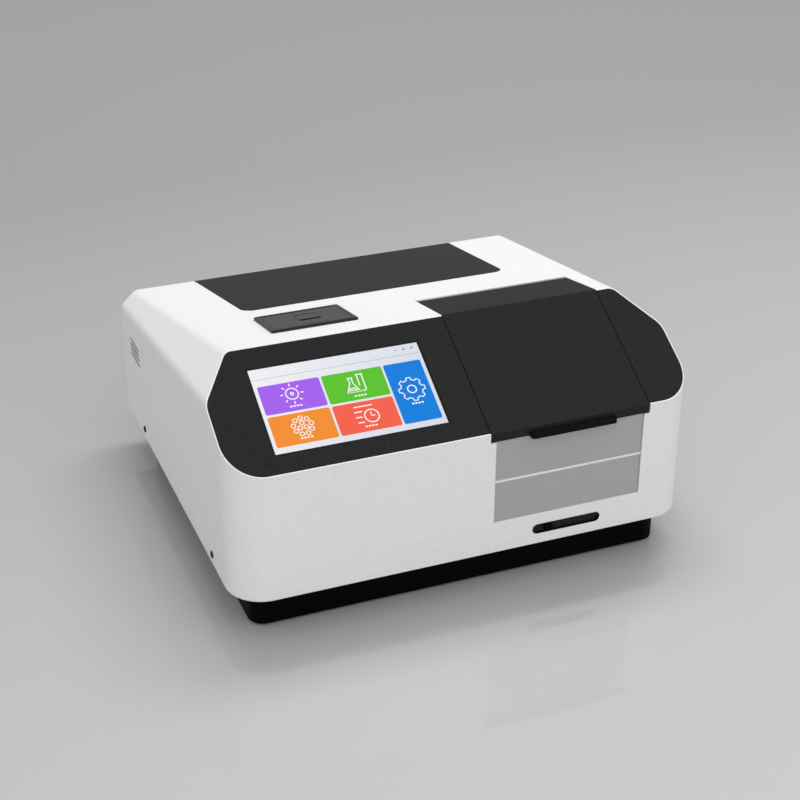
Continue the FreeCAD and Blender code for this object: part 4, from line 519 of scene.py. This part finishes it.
gear_u, gear_v, gear_teeth = 56.4, -3.5, 8
root, tip = 9.5, 11.8
gear = []
for tooth in range(gear_teeth):
    for share, reach in ((-0.30, root), (-0.19, tip), (0.19, tip), (0.30, root)):
        angle = math.tau * (tooth + share) / gear_teeth
        gear.append((gear_u + reach * math.cos(angle), gear_v + reach * math.sin(angle)))
gear.append(gear[0])
drawing("drawing_gear", [gear, loop(gear_u, gear_v, 3.8)], stroke, line_glow)

cell_u, cell_v, cell_radius, cell_stroke = -46.0, -19.7, 1.85, 0.85
cells = []
for count, reach in ((3, 3.1), (9, 7.9)):
    for step in range(count):
        angle = math.tau * (step / count + 0.25)
        cells.append(loop(cell_u + reach * math.cos(angle), cell_v + reach * math.sin(angle), cell_radius))
drawing("drawing_cells", cells, cell_stroke, line_glow)

clock_u, clock_v = 14.0, -21.9
minute_hand, hour_hand = 3.8, 2.9
clock = [loop(clock_u, clock_v, 6.2),
         [(clock_u, clock_v + minute_hand), (clock_u, clock_v), (clock_u + hour_hand, clock_v)]]
for rise, near, far in ((10.4, -13.2, 3.4), (5.4, -14.0, -6.8), (0.2, -14.0, -8.3), (-5.1, -13.5, -7.9)):
    clock.append([(clock_u + near, clock_v + rise), (clock_u + far, clock_v + rise)])
drawing("drawing_clock", clock, stroke, line_glow)


# Under each drawing stands a label: a row of four plain white blocks.
# They are drawn as short strokes of the same lit white.
block, block_pitch, block_count, label_stroke = 2.0, 2.9, 4, 1.5
labels = []
for label_u, label_v in ((-45.7, 0.4), (10.9, -0.6), (56.8, -17.9), (-45.7, -31.1), (10.6, -31.4)):
    for step in range(block_count):
        first = label_u + (step - block_count / 2) * block_pitch + (block_pitch - block) / 2
        labels.append([(first, label_v), (first + block, label_v)])
drawing("menu_labels", labels, label_stroke, line_glow)


# The head of the menu has a fine rule and three plain marks on the right, a line and two squares.
# They are drawn in a grey blue that the panel's cells grain a little.
ink_glow, where = material("lit_dark_blue_lines")
pixels = add(ink_glow, "TexNoise", {"Vector": where, "Scale": 1 / pixel})
colour = add(ink_glow, "Mix", {SHARE: pixels, LOW: srgb("#7a8398"), HIGH: srgb("#868fa3")}, data_type="RGBA")
add(ink_glow, "BsdfPrincipled", {**lit, "Emission Color": (colour, MIXED)})
icon, icon_stroke, icon_v = 0.9, 0.75, 37.6
line_u, line_v = 54.8, 37.4
status = [[(line_u - icon, line_v), (line_u + icon, line_v)]]
for icon_u in (62.5, 70.2):
    status.append([(icon_u + u * icon, icon_v + v * icon)
                   for u, v in ((-1, -1), (1, -1), (1, 1), (-1, 1), (-1, -1))])
drawing("menu_status_icons", status, icon_stroke, ink_glow)
rule_left, rule_right, rule_v, rule_stroke = -75.5, 74.0, 31.5, 0.3
drawing("menu_header_rule", [[(rule_left, rule_v), (rule_right, rule_v)]], rule_stroke, ink_glow)


# Behind the glass the display panel sits in a stamped frame, lacquered black on its face.
# It is pressed to the casing's ledge by a zinc plated strap.
lacquer_grain = 0.001  # near 0.2 mm, drawn coarser so that it shows
display_black, where = material("display_frame_black")
grains = add(display_black, "TexNoise", {"Vector": where, "Scale": 1 / lacquer_grain, "Detail": 2.0})
colour = add(display_black, "Mix", {
    SHARE: grains, LOW: srgb("#0e0e0f"), HIGH: srgb("#18181a")}, data_type="RGBA")
add(display_black, "BsdfPrincipled", {"Base Color": (colour, MIXED), "Roughness": 0.42})
dress(display_black, "display_module")


# The front under the lid is two plates of steel sheet in satin grey paint, with a pale strip between them.
# Sprayed paint lies smooth, with a faint orange peel.
peel = 0.0014
grey_paint, where = material("satin_grey_paint")
waves = add(grey_paint, "TexNoise", {"Vector": where, "Scale": 1 / peel, "Detail": 2.0})
colour = add(grey_paint, "Mix", {SHARE: waves, LOW: srgb("#a8a8a8"), HIGH: srgb("#b1b1b1")}, data_type="RGBA")
soft_edge = add(grey_paint, "Bevel", {"Radius": 0.0003}, samples=4)
relief = add(grey_paint, "Bump", {"Strength": 0.06, "Distance": 0.0002, "Height": waves, "Normal": soft_edge})
add(grey_paint, "BsdfPrincipled", {
    "Base Color": (colour, MIXED), "Roughness": 0.48, "IOR": 1.48, "Normal": relief})
dress(grey_paint, "upper_front_plate", "lower_front_plate")


# The strip between the plates is extruded aluminium, brushed along its length and clear anodised.
# The brushing leaves fine pale lines, and the clear skin takes most of the metal's glare.
brush = 0.0004  # a brushed line is near 0.1 mm, drawn coarser so that it shows
brushed_along = (0.02, 1.0, 1.0)
pale_trim, where = material("brushed_aluminium_clear_anodised")
drawn_out = add(pale_trim, "Mapping", {"Vector": where, "Scale": brushed_along})
lines = add(pale_trim, "TexNoise", {"Vector": drawn_out, "Scale": 1 / brush, "Detail": 3.0})
colour = add(pale_trim, "Mix", {SHARE: lines, LOW: srgb("#ececec"), HIGH: srgb("#fafafa")}, data_type="RGBA")
sheen = add(pale_trim, "MapRange", {"Value": lines, "To Min": 0.34, "To Max": 0.52})
add(pale_trim, "BsdfPrincipled", {"Base Color": (colour, MIXED), "Metallic": 0.1, "Roughness": sheen})
dress(pale_trim, "plate_trim_strip")


# The slot for the knob has a thin edging pushed into the sheet, which covers the cut.
# Its deep black is painted shade, for the shadow on the slot's cut wall.
# A strip of dark grey polyamide slides behind the slot with the knob and keeps light out of the bay.
slot_radius = 0.0047
edging_wall = 0.0003
edging_back, edging_face = -0.002, 0.0002
knob_proud = 0.0015
knob_low, knob_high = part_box("lever_knob")
knob_x = (knob_low.x + knob_high.x) / 2
knob_z = (knob_low.z + knob_high.z) / 2
slide = next(joint for joint in frame["joints"] if joint["name"] == "changer_slide")
slot_left, slot_right = (knob_x + reach for reach in slide["range_m"])
upright = (Matrix.Translation((0, knob_low.y + knob_proud, knob_z))
           @ Matrix.Rotation(math.pi / 2, 4, "X"))


def slot_line(radius):
    """The slot's outline. The ends fall just short of half circles, so that no two points lie together."""
    return rounded(slot_left - radius, slot_right + radius, -radius, radius, radius * 0.9999)


# painted shade: the edging round the slot is coloured deep black
edging = sheet("slot_edging_painted_shade", [slot_line(slot_radius), slot_line(slot_radius - edging_wall)], edging_back,
               edging_face, upright, deep_black)
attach(edging, "analyzer")
shield_grey, where = material("dark_grey_polyamide_strip")
grains = add(shield_grey, "TexNoise", {"Vector": where, "Scale": 1 / moulded_grain, "Detail": 2.0})
colour = add(shield_grey, "Mix", {
    SHARE: grains, LOW: srgb("#191919"), HIGH: srgb("#212121")}, data_type="RGBA")
add(shield_grey, "BsdfPrincipled", {
    "Base Color": (colour, MIXED), "Roughness": 0.5, "IOR": 1.53, "Specular IOR Level": 0.2})
dress(shield_grey, "slot_shield")


# The cuvette holder, its slide and the housings of the light path are milled aluminium, anodised black.
# The dye leaves a deep satin black that keeps stray light down, with a trace of the cutter's rows.
cutter_row = 0.0008
dye_cloud = 0.004
wave_repeat = 0.3  # a wave node of scale 1 repeats about every 0.3 m
black_anodised, where = material("black_anodised_aluminium")
rows = add(black_anodised, "TexWave", {"Vector": where, "Scale": wave_repeat / cutter_row, "Distortion": 0.6})
tone = add(black_anodised, "TexNoise", {"Vector": where, "Scale": 1 / dye_cloud, "Detail": 2.0})
colour = add(black_anodised, "Mix", {
    SHARE: tone, LOW: srgb("#141416"), HIGH: srgb("#222225")}, data_type="RGBA")
sheen = add(black_anodised, "MapRange", {"Value": (rows, "Fac"), "To Min": 0.34, "To Max": 0.44})
soft_edge = add(black_anodised, "Bevel", {"Radius": 0.0003}, samples=4)
add(black_anodised, "BsdfPrincipled", {
    "Base Color": (colour, MIXED), "Metallic": 0.5, "Roughness": sheen, "Normal": soft_edge})
dress(black_anodised, "cuvette_holder", "carriage_block", "detector_housing", "lens_mount", "filter_wheel",
      "lamp_house")


# One to four white dots mark the wells of the holder, so that a user can tell them apart.
# They are drilled shallow and filled with enamel paint, which stands up a little.
well_count = 4
well_pitch = 0.015
dot_radius, dot_gap, dot_inset = 0.0005, 0.0018, 0.0012
paint_wave = 0.0005
holder_low, holder_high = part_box("cuvette_holder")
dot_paint, where = material("white_dot_paint")
waves = add(dot_paint, "TexNoise", {"Vector": where, "Scale": 1 / paint_wave})
colour = add(dot_paint, "Mix", {SHARE: waves, LOW: srgb("#d8d8d4"), HIGH: srgb("#ececea")}, data_type="RGBA")
add(dot_paint, "BsdfPrincipled", {"Base Color": (colour, MIXED), "Roughness": 0.5})
dot_rings = [[(u, v, z) for u, v in ring(reach, 20)]
             for reach, z in ((dot_radius, 0.0), (dot_radius, 0.00003), (dot_radius * 0.7, 0.00006))]
dot_places = []
for well in range(well_count):
    middle = (holder_low.x + holder_high.x) / 2 + (well - (well_count - 1) / 2) * well_pitch
    for dot in range(well + 1):
        dot_places.append(Matrix.Translation((middle + (dot - well / 2) * dot_gap, holder_low.y + dot_inset,
                                              holder_high.z)))
dots = loft("well_dots", dot_rings, dot_places, dot_paint)
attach(dots, "changer")


# The bench of the light path and the supports of the rods are machined from aluminium plate and left bare.
# The cutter leaves bright fine rows.
milled_row = 0.0005
milled_along = (1.0, 0.05, 1.0)
machined, where = material("machined_aluminium")
drawn_out = add(machined, "Mapping", {"Vector": where, "Scale": milled_along})
rows = add(machined, "TexNoise", {"Vector": drawn_out, "Scale": 1 / milled_row, "Detail": 3.0})
colour = add(machined, "Mix", {SHARE: rows, LOW: srgb("#bdbfc1"), HIGH: srgb("#dadbdc")}, data_type="RGBA")
sheen = add(machined, "MapRange", {"Value": rows, "To Min": 0.24, "To Max": 0.42})
add(machined, "BsdfPrincipled", {"Base Color": (colour, MIXED), "Metallic": 1.0, "Roughness": sheen})
dress(machined, "rod_supports", "optical_bench", "photodiode")


# The lens and the bulb are clear glass, the one ground and polished and the other blown.
# Faint cords in the melt make the polish uneven.
cord = 0.006
clear_glass, where = material("clear_glass")
cords = add(clear_glass, "TexNoise", {"Vector": where, "Scale": 1 / cord, "Detail": 1.0})
polish = add(clear_glass, "MapRange", {"Value": cords, "To Min": 0.0, "To Max": 0.04})
add(clear_glass, "BsdfPrincipled", {
    "Base Color": srgb("#f4fafa"), "Roughness": polish, "IOR": 1.52, "Transmission Weight": 1.0})
dress(clear_glass, "condenser_lens", "lamp_bulb")


# Eight discs of coloured filter glass sit in the wheel, pressed in from one side.
# The glass is dyed in the melt, and the tint goes round the wheel from red to violet.
wheel_low, wheel_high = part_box("filter_wheel")
wheel_middle = (wheel_low + wheel_high) / 2
filter_glass, where = material("coloured_filter_glass")
centred = add(filter_glass, "Mapping", {
    "Vector": where, "Location": (-wheel_middle.x, 0.0, -wheel_middle.z),
    "Rotation": (math.pi / 2, 0.0, 0.0)})
around = add(filter_glass, "TexGradient", {"Vector": centred}, gradient_type="RADIAL")
tint = add(filter_glass, "CombineColor", {0: (around, "Fac"), 1: 0.85, 2: 0.75}, mode="HSV")
add(filter_glass, "BsdfPrincipled", {
    "Base Color": tint, "Roughness": 0.03, "IOR": 1.52, "Transmission Weight": 0.9})
dress(filter_glass, "colour_filters")


# The lamp socket and the print head are pressed and fired ceramic.
# The unglazed body is white and faintly speckled.
speck = 0.0008
ceramic, where = material("fired_white_ceramic")
specks = add(ceramic, "TexNoise", {"Vector": where, "Scale": 1 / speck, "Detail": 5.0})
colour = add(ceramic, "Mix", {SHARE: specks, LOW: srgb("#d8d4c8"), HIGH: srgb("#f0ede4")}, data_type="RGBA")
add(ceramic, "BsdfPrincipled", {"Base Color": (colour, MIXED), "Roughness": 0.42, "IOR": 1.6})
dress(ceramic, "lamp_socket", "print_head")


# The main board is glass fibre laminate under green solder mask, screwed to four standoffs.
# The mask is glossy over a fine weave, and copper below it makes it paler in places.
weave = 0.0008
track = 0.006
board_green, where = material("green_solder_mask_on_laminate")
threads = add(board_green, "TexChecker", {
    "Vector": where, "Scale": 1 / weave, "Color1": srgb("#0d4424"), "Color2": srgb("#14532c")})
tracks = add(board_green, "TexNoise", {"Vector": where, "Scale": 1 / track, "Detail": 4.0})
colour = add(board_green, "Mix", {
    SHARE: tracks, LOW: (threads, "Color"), HIGH: srgb("#1c6b3a")}, data_type="RGBA")
add(board_green, "BsdfPrincipled", {"Base Color": (colour, MIXED), "Roughness": 0.28, "IOR": 1.55})
dress(board_green, "main_board")


# The rear panel and the cover on the back half of the top are steel sheet, powder coated charcoal.
# The coat is finer than the white one, and the edges of the sheet carry a small round.
cover_grain = 0.0010  # near 0.15 mm on the real coat, drawn coarser so that it shows
charcoal_coat, where = material("charcoal_powder_coat_on_steel")
grains = add(charcoal_coat, "TexNoise", {"Vector": where, "Scale": 1 / cover_grain, "Detail": 2.0})
colour = add(charcoal_coat, "Mix", {
    SHARE: grains, LOW: srgb("#131313"), HIGH: srgb("#1b1b1b")}, data_type="RGBA")
soft_edge = add(charcoal_coat, "Bevel", {"Radius": 0.0004}, samples=4)
relief = add(charcoal_coat, "Bump", {
    "Strength": 0.08, "Distance": 0.0003, "Height": grains, "Normal": soft_edge})
add(charcoal_coat, "BsdfPrincipled", {
    "Base Color": (colour, MIXED), "Roughness": 0.5, "IOR": 1.5, "Specular IOR Level": 0.16,
    "Normal": relief})
dress(charcoal_coat, "rear_panel", "rear_cover")


# The mains inlet is a moulded socket with three prongs of nickel plated brass, rounded at their tips.
# They are turned from wire and pressed into the socket's floor, and the nickel is bright with a warm film.
inlet_low, inlet_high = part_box("power_inlet")
inlet_middle = (inlet_low + inlet_high) / 2
inlet_flange = 0.0015
inlet_back = 0.0025
prong_radius, prong_spacing, prong_proud = 0.00125, 0.007, 0.0002
panel_y = inlet_high.y - inlet_flange
inlet_floor = inlet_low.y + inlet_back


def pin(radius, length):
    """The rings of a round pin with a domed tip, along Z. The last ring stops short of the pole."""
    rings = [(radius, 0.0), (radius, length - radius)]
    for step in range(1, 5):
        lean = math.radians(90) * step / 4.3
        rings.append((radius * math.cos(lean), length - radius + radius * math.sin(lean)))
    return [[(u, v, z) for u, v in ring(reach, 24)] for reach, z in rings]


nickel_film = 0.002
nickel, where = material("nickel_plated_brass")
film = add(nickel, "TexNoise", {"Vector": where, "Scale": 1 / nickel_film, "Detail": 3.0})
colour = add(nickel, "Mix", {SHARE: film, LOW: srgb("#b9b3a4"), HIGH: srgb("#d4cfc2")}, data_type="RGBA")
sheen = add(nickel, "MapRange", {"Value": film, "To Min": 0.16, "To Max": 0.30})
add(nickel, "BsdfPrincipled", {"Base Color": (colour, MIXED), "Metallic": 1.0, "Roughness": sheen})
prong_places = [Matrix.Translation((inlet_middle.x + step * prong_spacing, inlet_floor, inlet_middle.z))
                @ out_back for step in (-1, 0, 1)]
prongs = loft("inlet_prongs", pin(prong_radius, panel_y - inlet_floor + prong_proud), prong_places, nickel)
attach(prongs, "analyzer")


# A bare rating plate is stuck on the panel, between the switch and the ports.
# It is thin aluminium with a fine machined grain, punched with round corners.
plate_half_wide, plate_half_tall, plate_corner = 0.030, 0.014, 0.002
plate_glue, plate_face = 0.00002, 0.0004
plate_outline = rounded(-plate_half_wide, plate_half_wide, -plate_half_tall, plate_half_tall, plate_corner)
rating_plate = sheet("rating_plate", [plate_outline], plate_glue, plate_face,
                     Matrix.Translation((0, panel_y, inlet_middle.z)) @ out_back, machined)
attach(rating_plate, "analyzer")


# The power switch is a rocker of black polyamide that snaps from side to side on two pivots.
# It is moulded glossy, and fingers have rubbed it unevenly. A line and a ring are printed on its two ends.
rub = 0.003
rocker_gloss, where = material("black_polyamide_rocker")
rubs = add(rocker_gloss, "TexNoise", {"Vector": where, "Scale": 1 / rub, "Detail": 3.0})
colour = add(rocker_gloss, "Mix", {
    SHARE: rubs, LOW: srgb("#0e0e0f"), HIGH: srgb("#191919")}, data_type="RGBA")
sheen = add(rocker_gloss, "MapRange", {"Value": rubs, "To Min": 0.22, "To Max": 0.36})
soft_edge = add(rocker_gloss, "Bevel", {"Radius": 0.0004}, samples=4)
add(rocker_gloss, "BsdfPrincipled", {
    "Base Color": (colour, MIXED), "Roughness": sheen, "IOR": 1.53, "Normal": soft_edge})
dress(rocker_gloss, "power_rocker")
rocker = next(joint for joint in frame["joints"] if joint["name"] == "power_rocker_tilt")
rocker_tilt = math.radians(9)
rocker_proud, rocker_dip, rocker_tall = 0.0032, 0.0017, 0.00891
face_lean = math.atan2(rocker_proud - rocker_dip, rocker_tall)
rocker_frame = Matrix.Translation(rocker["pos_m"]) @ Matrix.Rotation(rocker_tilt, 4, "X")
mark_low, mark_high = 0.00001, 0.00005
mark_reach, mark_line, mark_corner, ring_hole = 0.0016, 0.0003, 0.0001, 0.0011
line_mark = [rounded(-mark_line, mark_line, -mark_reach, mark_reach, mark_corner)]
ring_mark = [ring(mark_reach, 32), ring(ring_hole, 32)]
for name, end, outlines in (("switch_mark_on", 1, line_mark), ("switch_mark_off", -1, ring_mark)):
    middle = Vector((0, (rocker_proud + rocker_dip) / 2, end * rocker_tall / 2))
    on_face = (rocker_frame @ Matrix.Translation(middle)
               @ Matrix.Rotation(-math.pi / 2 - end * face_lean, 4, "X"))
    mark = sheet(name, outlines, mark_low, mark_high, on_face, dot_paint)
    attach(mark, "power_rocker")


# The two USB ports are folded steel shells. Each holds a tongue of black plastic with four gilded contacts.
# The contacts are punched from sheet and laid in the tongue's lower face.
gold_film = 0.001
gold, where = material("gilded_contact")
film = add(gold, "TexNoise", {"Vector": where, "Scale": 1 / gold_film, "Detail": 2.0})
colour = add(gold, "Mix", {SHARE: film, LOW: srgb("#c79a45"), HIGH: srgb("#e0b868")}, data_type="RGBA")
add(gold, "BsdfPrincipled", {"Base Color": (colour, MIXED), "Metallic": 1.0, "Roughness": 0.25})
usb_low, usb_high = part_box("usb_ports")
usb_flange = 0.003
usb_width = 0.0146
usb_z = (usb_low.z + usb_high.z) / 2
usb_inset = usb_flange + usb_width / 2
tongue_half, tongue_corner = 0.0052, 0.0004
tongue_y = usb_low.y + 0.0006, usb_high.y - 0.003
tongue_z = 0.0004, 0.0022
contact_half, contact_corner, contact_pitch, contact_count = 0.0005, 0.0002, 0.0022, 4
contact_y = usb_low.y + 0.002, usb_high.y - 0.004
contact_z = 0.0003, 0.00045
for name, x in (("left", usb_low.x + usb_inset), ("right", usb_high.x - usb_inset)):
    port = Matrix.Translation((x, 0, usb_z))
    tongue = sheet("usb_tongue_" + name, [rounded(-tongue_half, tongue_half, *tongue_y, tongue_corner)],
                   *tongue_z, port, black_abs)
    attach(tongue, "analyzer")
    for step in range(contact_count):
        middle = (step - (contact_count - 1) / 2) * contact_pitch
        outline = rounded(middle - contact_half, middle + contact_half, *contact_y, contact_corner)
        contact = sheet("usb_contact_%s_%d" % (name, step + 1), [outline], *contact_z, port, gold)
        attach(contact, "analyzer")


# The serial port is a drawn steel shell with nine gilded pins in two rows.
# The pins are turned and pressed into a block of black plastic.
serial_low, serial_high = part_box("serial_port")
serial_middle = (serial_low + serial_high) / 2
pin_pitch, pin_row = 0.00277, 0.00142
pin_radius, pin_length = 0.0005, 0.008
block_half_wide, block_half_tall, block_corner = 0.0084, 0.0040, 0.0012
block_back, block_front = 0.001, 0.008
pin_places = []
for count, z in ((5, pin_row), (4, -pin_row)):
    for step in range(count):
        pin_x = serial_middle.x + (step - (count - 1) / 2) * pin_pitch
        pin_places.append(Matrix.Translation((pin_x, serial_low.y + block_front, serial_middle.z + z))
                          @ out_back)
serial_pins = loft("serial_pins", pin(pin_radius, pin_length), pin_places, gold)
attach(serial_pins, "analyzer")
block_outline = rounded(-block_half_wide, block_half_wide, -block_half_tall, block_half_tall, block_corner)
pin_block = sheet("serial_pin_block", [block_outline], block_back, block_front,
                  Matrix.Translation((serial_middle.x, serial_low.y, serial_middle.z)) @ out_back, black_abs)
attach(pin_block, "analyzer")


# The panel printer is moulded in dark grey ABS: a raised frame, a door on a pin and a sprung pull tab.
# Its mould was finely etched, so it is a little glossier than the plates of the front.
etched_grain = 0.0008  # near 0.1 mm, drawn coarser so that it shows
printer_abs, where = material("grey_abs_etched")
grains = add(printer_abs, "TexNoise", {"Vector": where, "Scale": 1 / etched_grain, "Detail": 2.0})
colour = add(printer_abs, "Mix", {
    SHARE: grains, LOW: srgb("#111111"), HIGH: srgb("#191919")}, data_type="RGBA")
soft_edge = add(printer_abs, "Bevel", {"Radius": 0.0004}, samples=4)
relief = add(printer_abs, "Bump", {
    "Strength": 0.08, "Distance": 0.0002, "Height": grains, "Normal": soft_edge})
add(printer_abs, "BsdfPrincipled", {
    "Base Color": (colour, MIXED), "Roughness": 0.34, "IOR": 1.52, "Specular IOR Level": 0.42,
    "Normal": relief})
dress(printer_abs, "printer_housing", "printer_door", "printer_latch")


# The printer takes a roll of thermal paper, wound on itself round an open core.
# The ends of the roll show the windings as fine rings.
winding = 0.0006  # a turn of paper is near 0.06 mm, drawn coarser so that it shows
roll_low, roll_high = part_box("paper_roll")
across_roll = (0.0, 1.0, 1.0)
paper, where = material("thermal_paper")
centred = add(paper, "Mapping", {
    "Vector": where, "Location": (roll_low + roll_high) / -2, "Scale": across_roll}, vector_type="POINT")
rings = add(paper, "TexWave", {
    "Vector": centred, "Scale": wave_repeat / winding, "Distortion": 0.3},
    wave_type="RINGS", rings_direction="SPHERICAL")
colour = add(paper, "Mix", {
    SHARE: (rings, "Fac"), LOW: srgb("#dedcd4"), HIGH: srgb("#f2f1ec")}, data_type="RGBA")
add(paper, "BsdfPrincipled", {"Base Color": (colour, MIXED), "Roughness": 0.65})
dress(paper, "paper_roll")


# The floor is a wide table in pale grey lacquer, sprayed and rubbed to a polish, so the casing mirrors in it.
# Its colour is painted a little darker to the back, as painted falloff of light.
# Wiping has left the polish slightly uneven.
floor_half = 40.0
floor_near, floor_far = -0.8, 0.9
wipe = 0.3
table, where = material("pale_grey_lacquered_table")
spread = add(table, "SeparateXYZ", {"Vector": where})
# painted falloff of light: the table's colour darkens from the near end of the gradient to the far
far = add(table, "MapRange", {"Value": (spread, "Y"), "From Min": floor_near, "From Max": floor_far})
colour = add(table, "Mix", {SHARE: far, LOW: srgb("#d1d1d1"), HIGH: srgb("#9b9b9b")}, data_type="RGBA")
wiped = add(table, "TexNoise", {"Vector": where, "Scale": 1 / wipe, "Detail": 1.0})
polish = add(table, "MapRange", {"Value": wiped, "To Min": 0.03, "To Max": 0.07})
add(table, "BsdfPrincipled", {"Base Color": (colour, MIXED), "Roughness": polish, "IOR": 1.5})
floor_mesh = bpy.data.meshes.new("floor")
floor_mesh.from_pydata([(-floor_half, -floor_half, 0), (floor_half, -floor_half, 0),
                        (floor_half, floor_half, 0), (-floor_half, floor_half, 0)], [], [(0, 1, 2, 3)])
floor = stand("floor", floor_mesh, table)


# Plain soft studio light: a wide panel hangs overhead, a little behind the object and to its right.
# It is kept out of the picture and out of mirror images, so the polished floor doesn't show it as a patch.
# The grey room lights more from the front than from the back, but mirrors and the camera see it as even.
panel_place = Vector((0.46, 0.55, 2.05))
panel_aim = Vector((0.46, 0, 0.1))
panel = bpy.data.lights.new("overhead_panel", "AREA")
panel.shape = "RECTANGLE"
panel.size = 1.6
panel.size_y = 0.7
panel.energy = 20.2
lamp = stand("overhead_panel", panel)
lamp.location = panel_place
lamp.rotation_euler = (panel_aim - panel_place).to_track_quat("-Z", "Y").to_euler()
lamp.visible_camera = False
lamp.visible_glossy = False
to_front = (-0.04, -1.0, 0.0)
world = bpy.data.worlds.new("studio")
world.use_nodes = True
world.node_tree.nodes.clear()
where = add(world, "TexCoord")
ahead = add(world, "VectorMath", {0: (where, "Generated"), 1: to_front}, operation="DOT_PRODUCT")
front = add(world, "MapRange", {"Value": (ahead, "Value"), "From Min": -1.0})
glow = add(world, "Mix", {SHARE: front, LOW: srgb("#8e8e8e"), HIGH: srgb("#fbfbfb")}, data_type="RGBA")
lighting = add(world, "Background", {"Color": (glow, MIXED), "Strength": 1.20})
even = add(world, "Background", {"Color": srgb("#bcbcbc"), "Strength": 1.14})
rays = add(world, "LightPath")
mirrored = add(world, "Math", {
    0: (rays, "Is Glossy Ray"), 1: (rays, "Is Transmission Ray")}, operation="MAXIMUM")
seen = add(world, "Math", {0: mirrored, 1: (rays, "Is Camera Ray")}, operation="MAXIMUM")
room = add(world, "MixShader", {0: seen, 1: lighting, 2: even})
add(world, "OutputWorld", {"Surface": room})
bpy.context.scene.world = world
bpy.context.scene.view_settings.view_transform = "Standard"


# The camera stands in front, to the left and above, with a long lens.
# It is tipped a quarter of a degree about its own axis, as it was for the photograph.
eye = Vector((-0.50563, -1.2842, 0.8353))
aim = Vector((0.00633, 0.0, 0.0991))
roll = math.radians(0.265)
view = bpy.data.cameras.new("camera")
view.lens = 74.4
view.sensor_width = 36.0
camera = stand("camera", view)
camera.location = eye
camera.rotation_mode = "QUATERNION"
camera.rotation_quaternion = (aim - eye).to_track_quat("-Z", "Y") @ Quaternion((0, 0, 1), roll)
bpy.context.scene.camera = camera
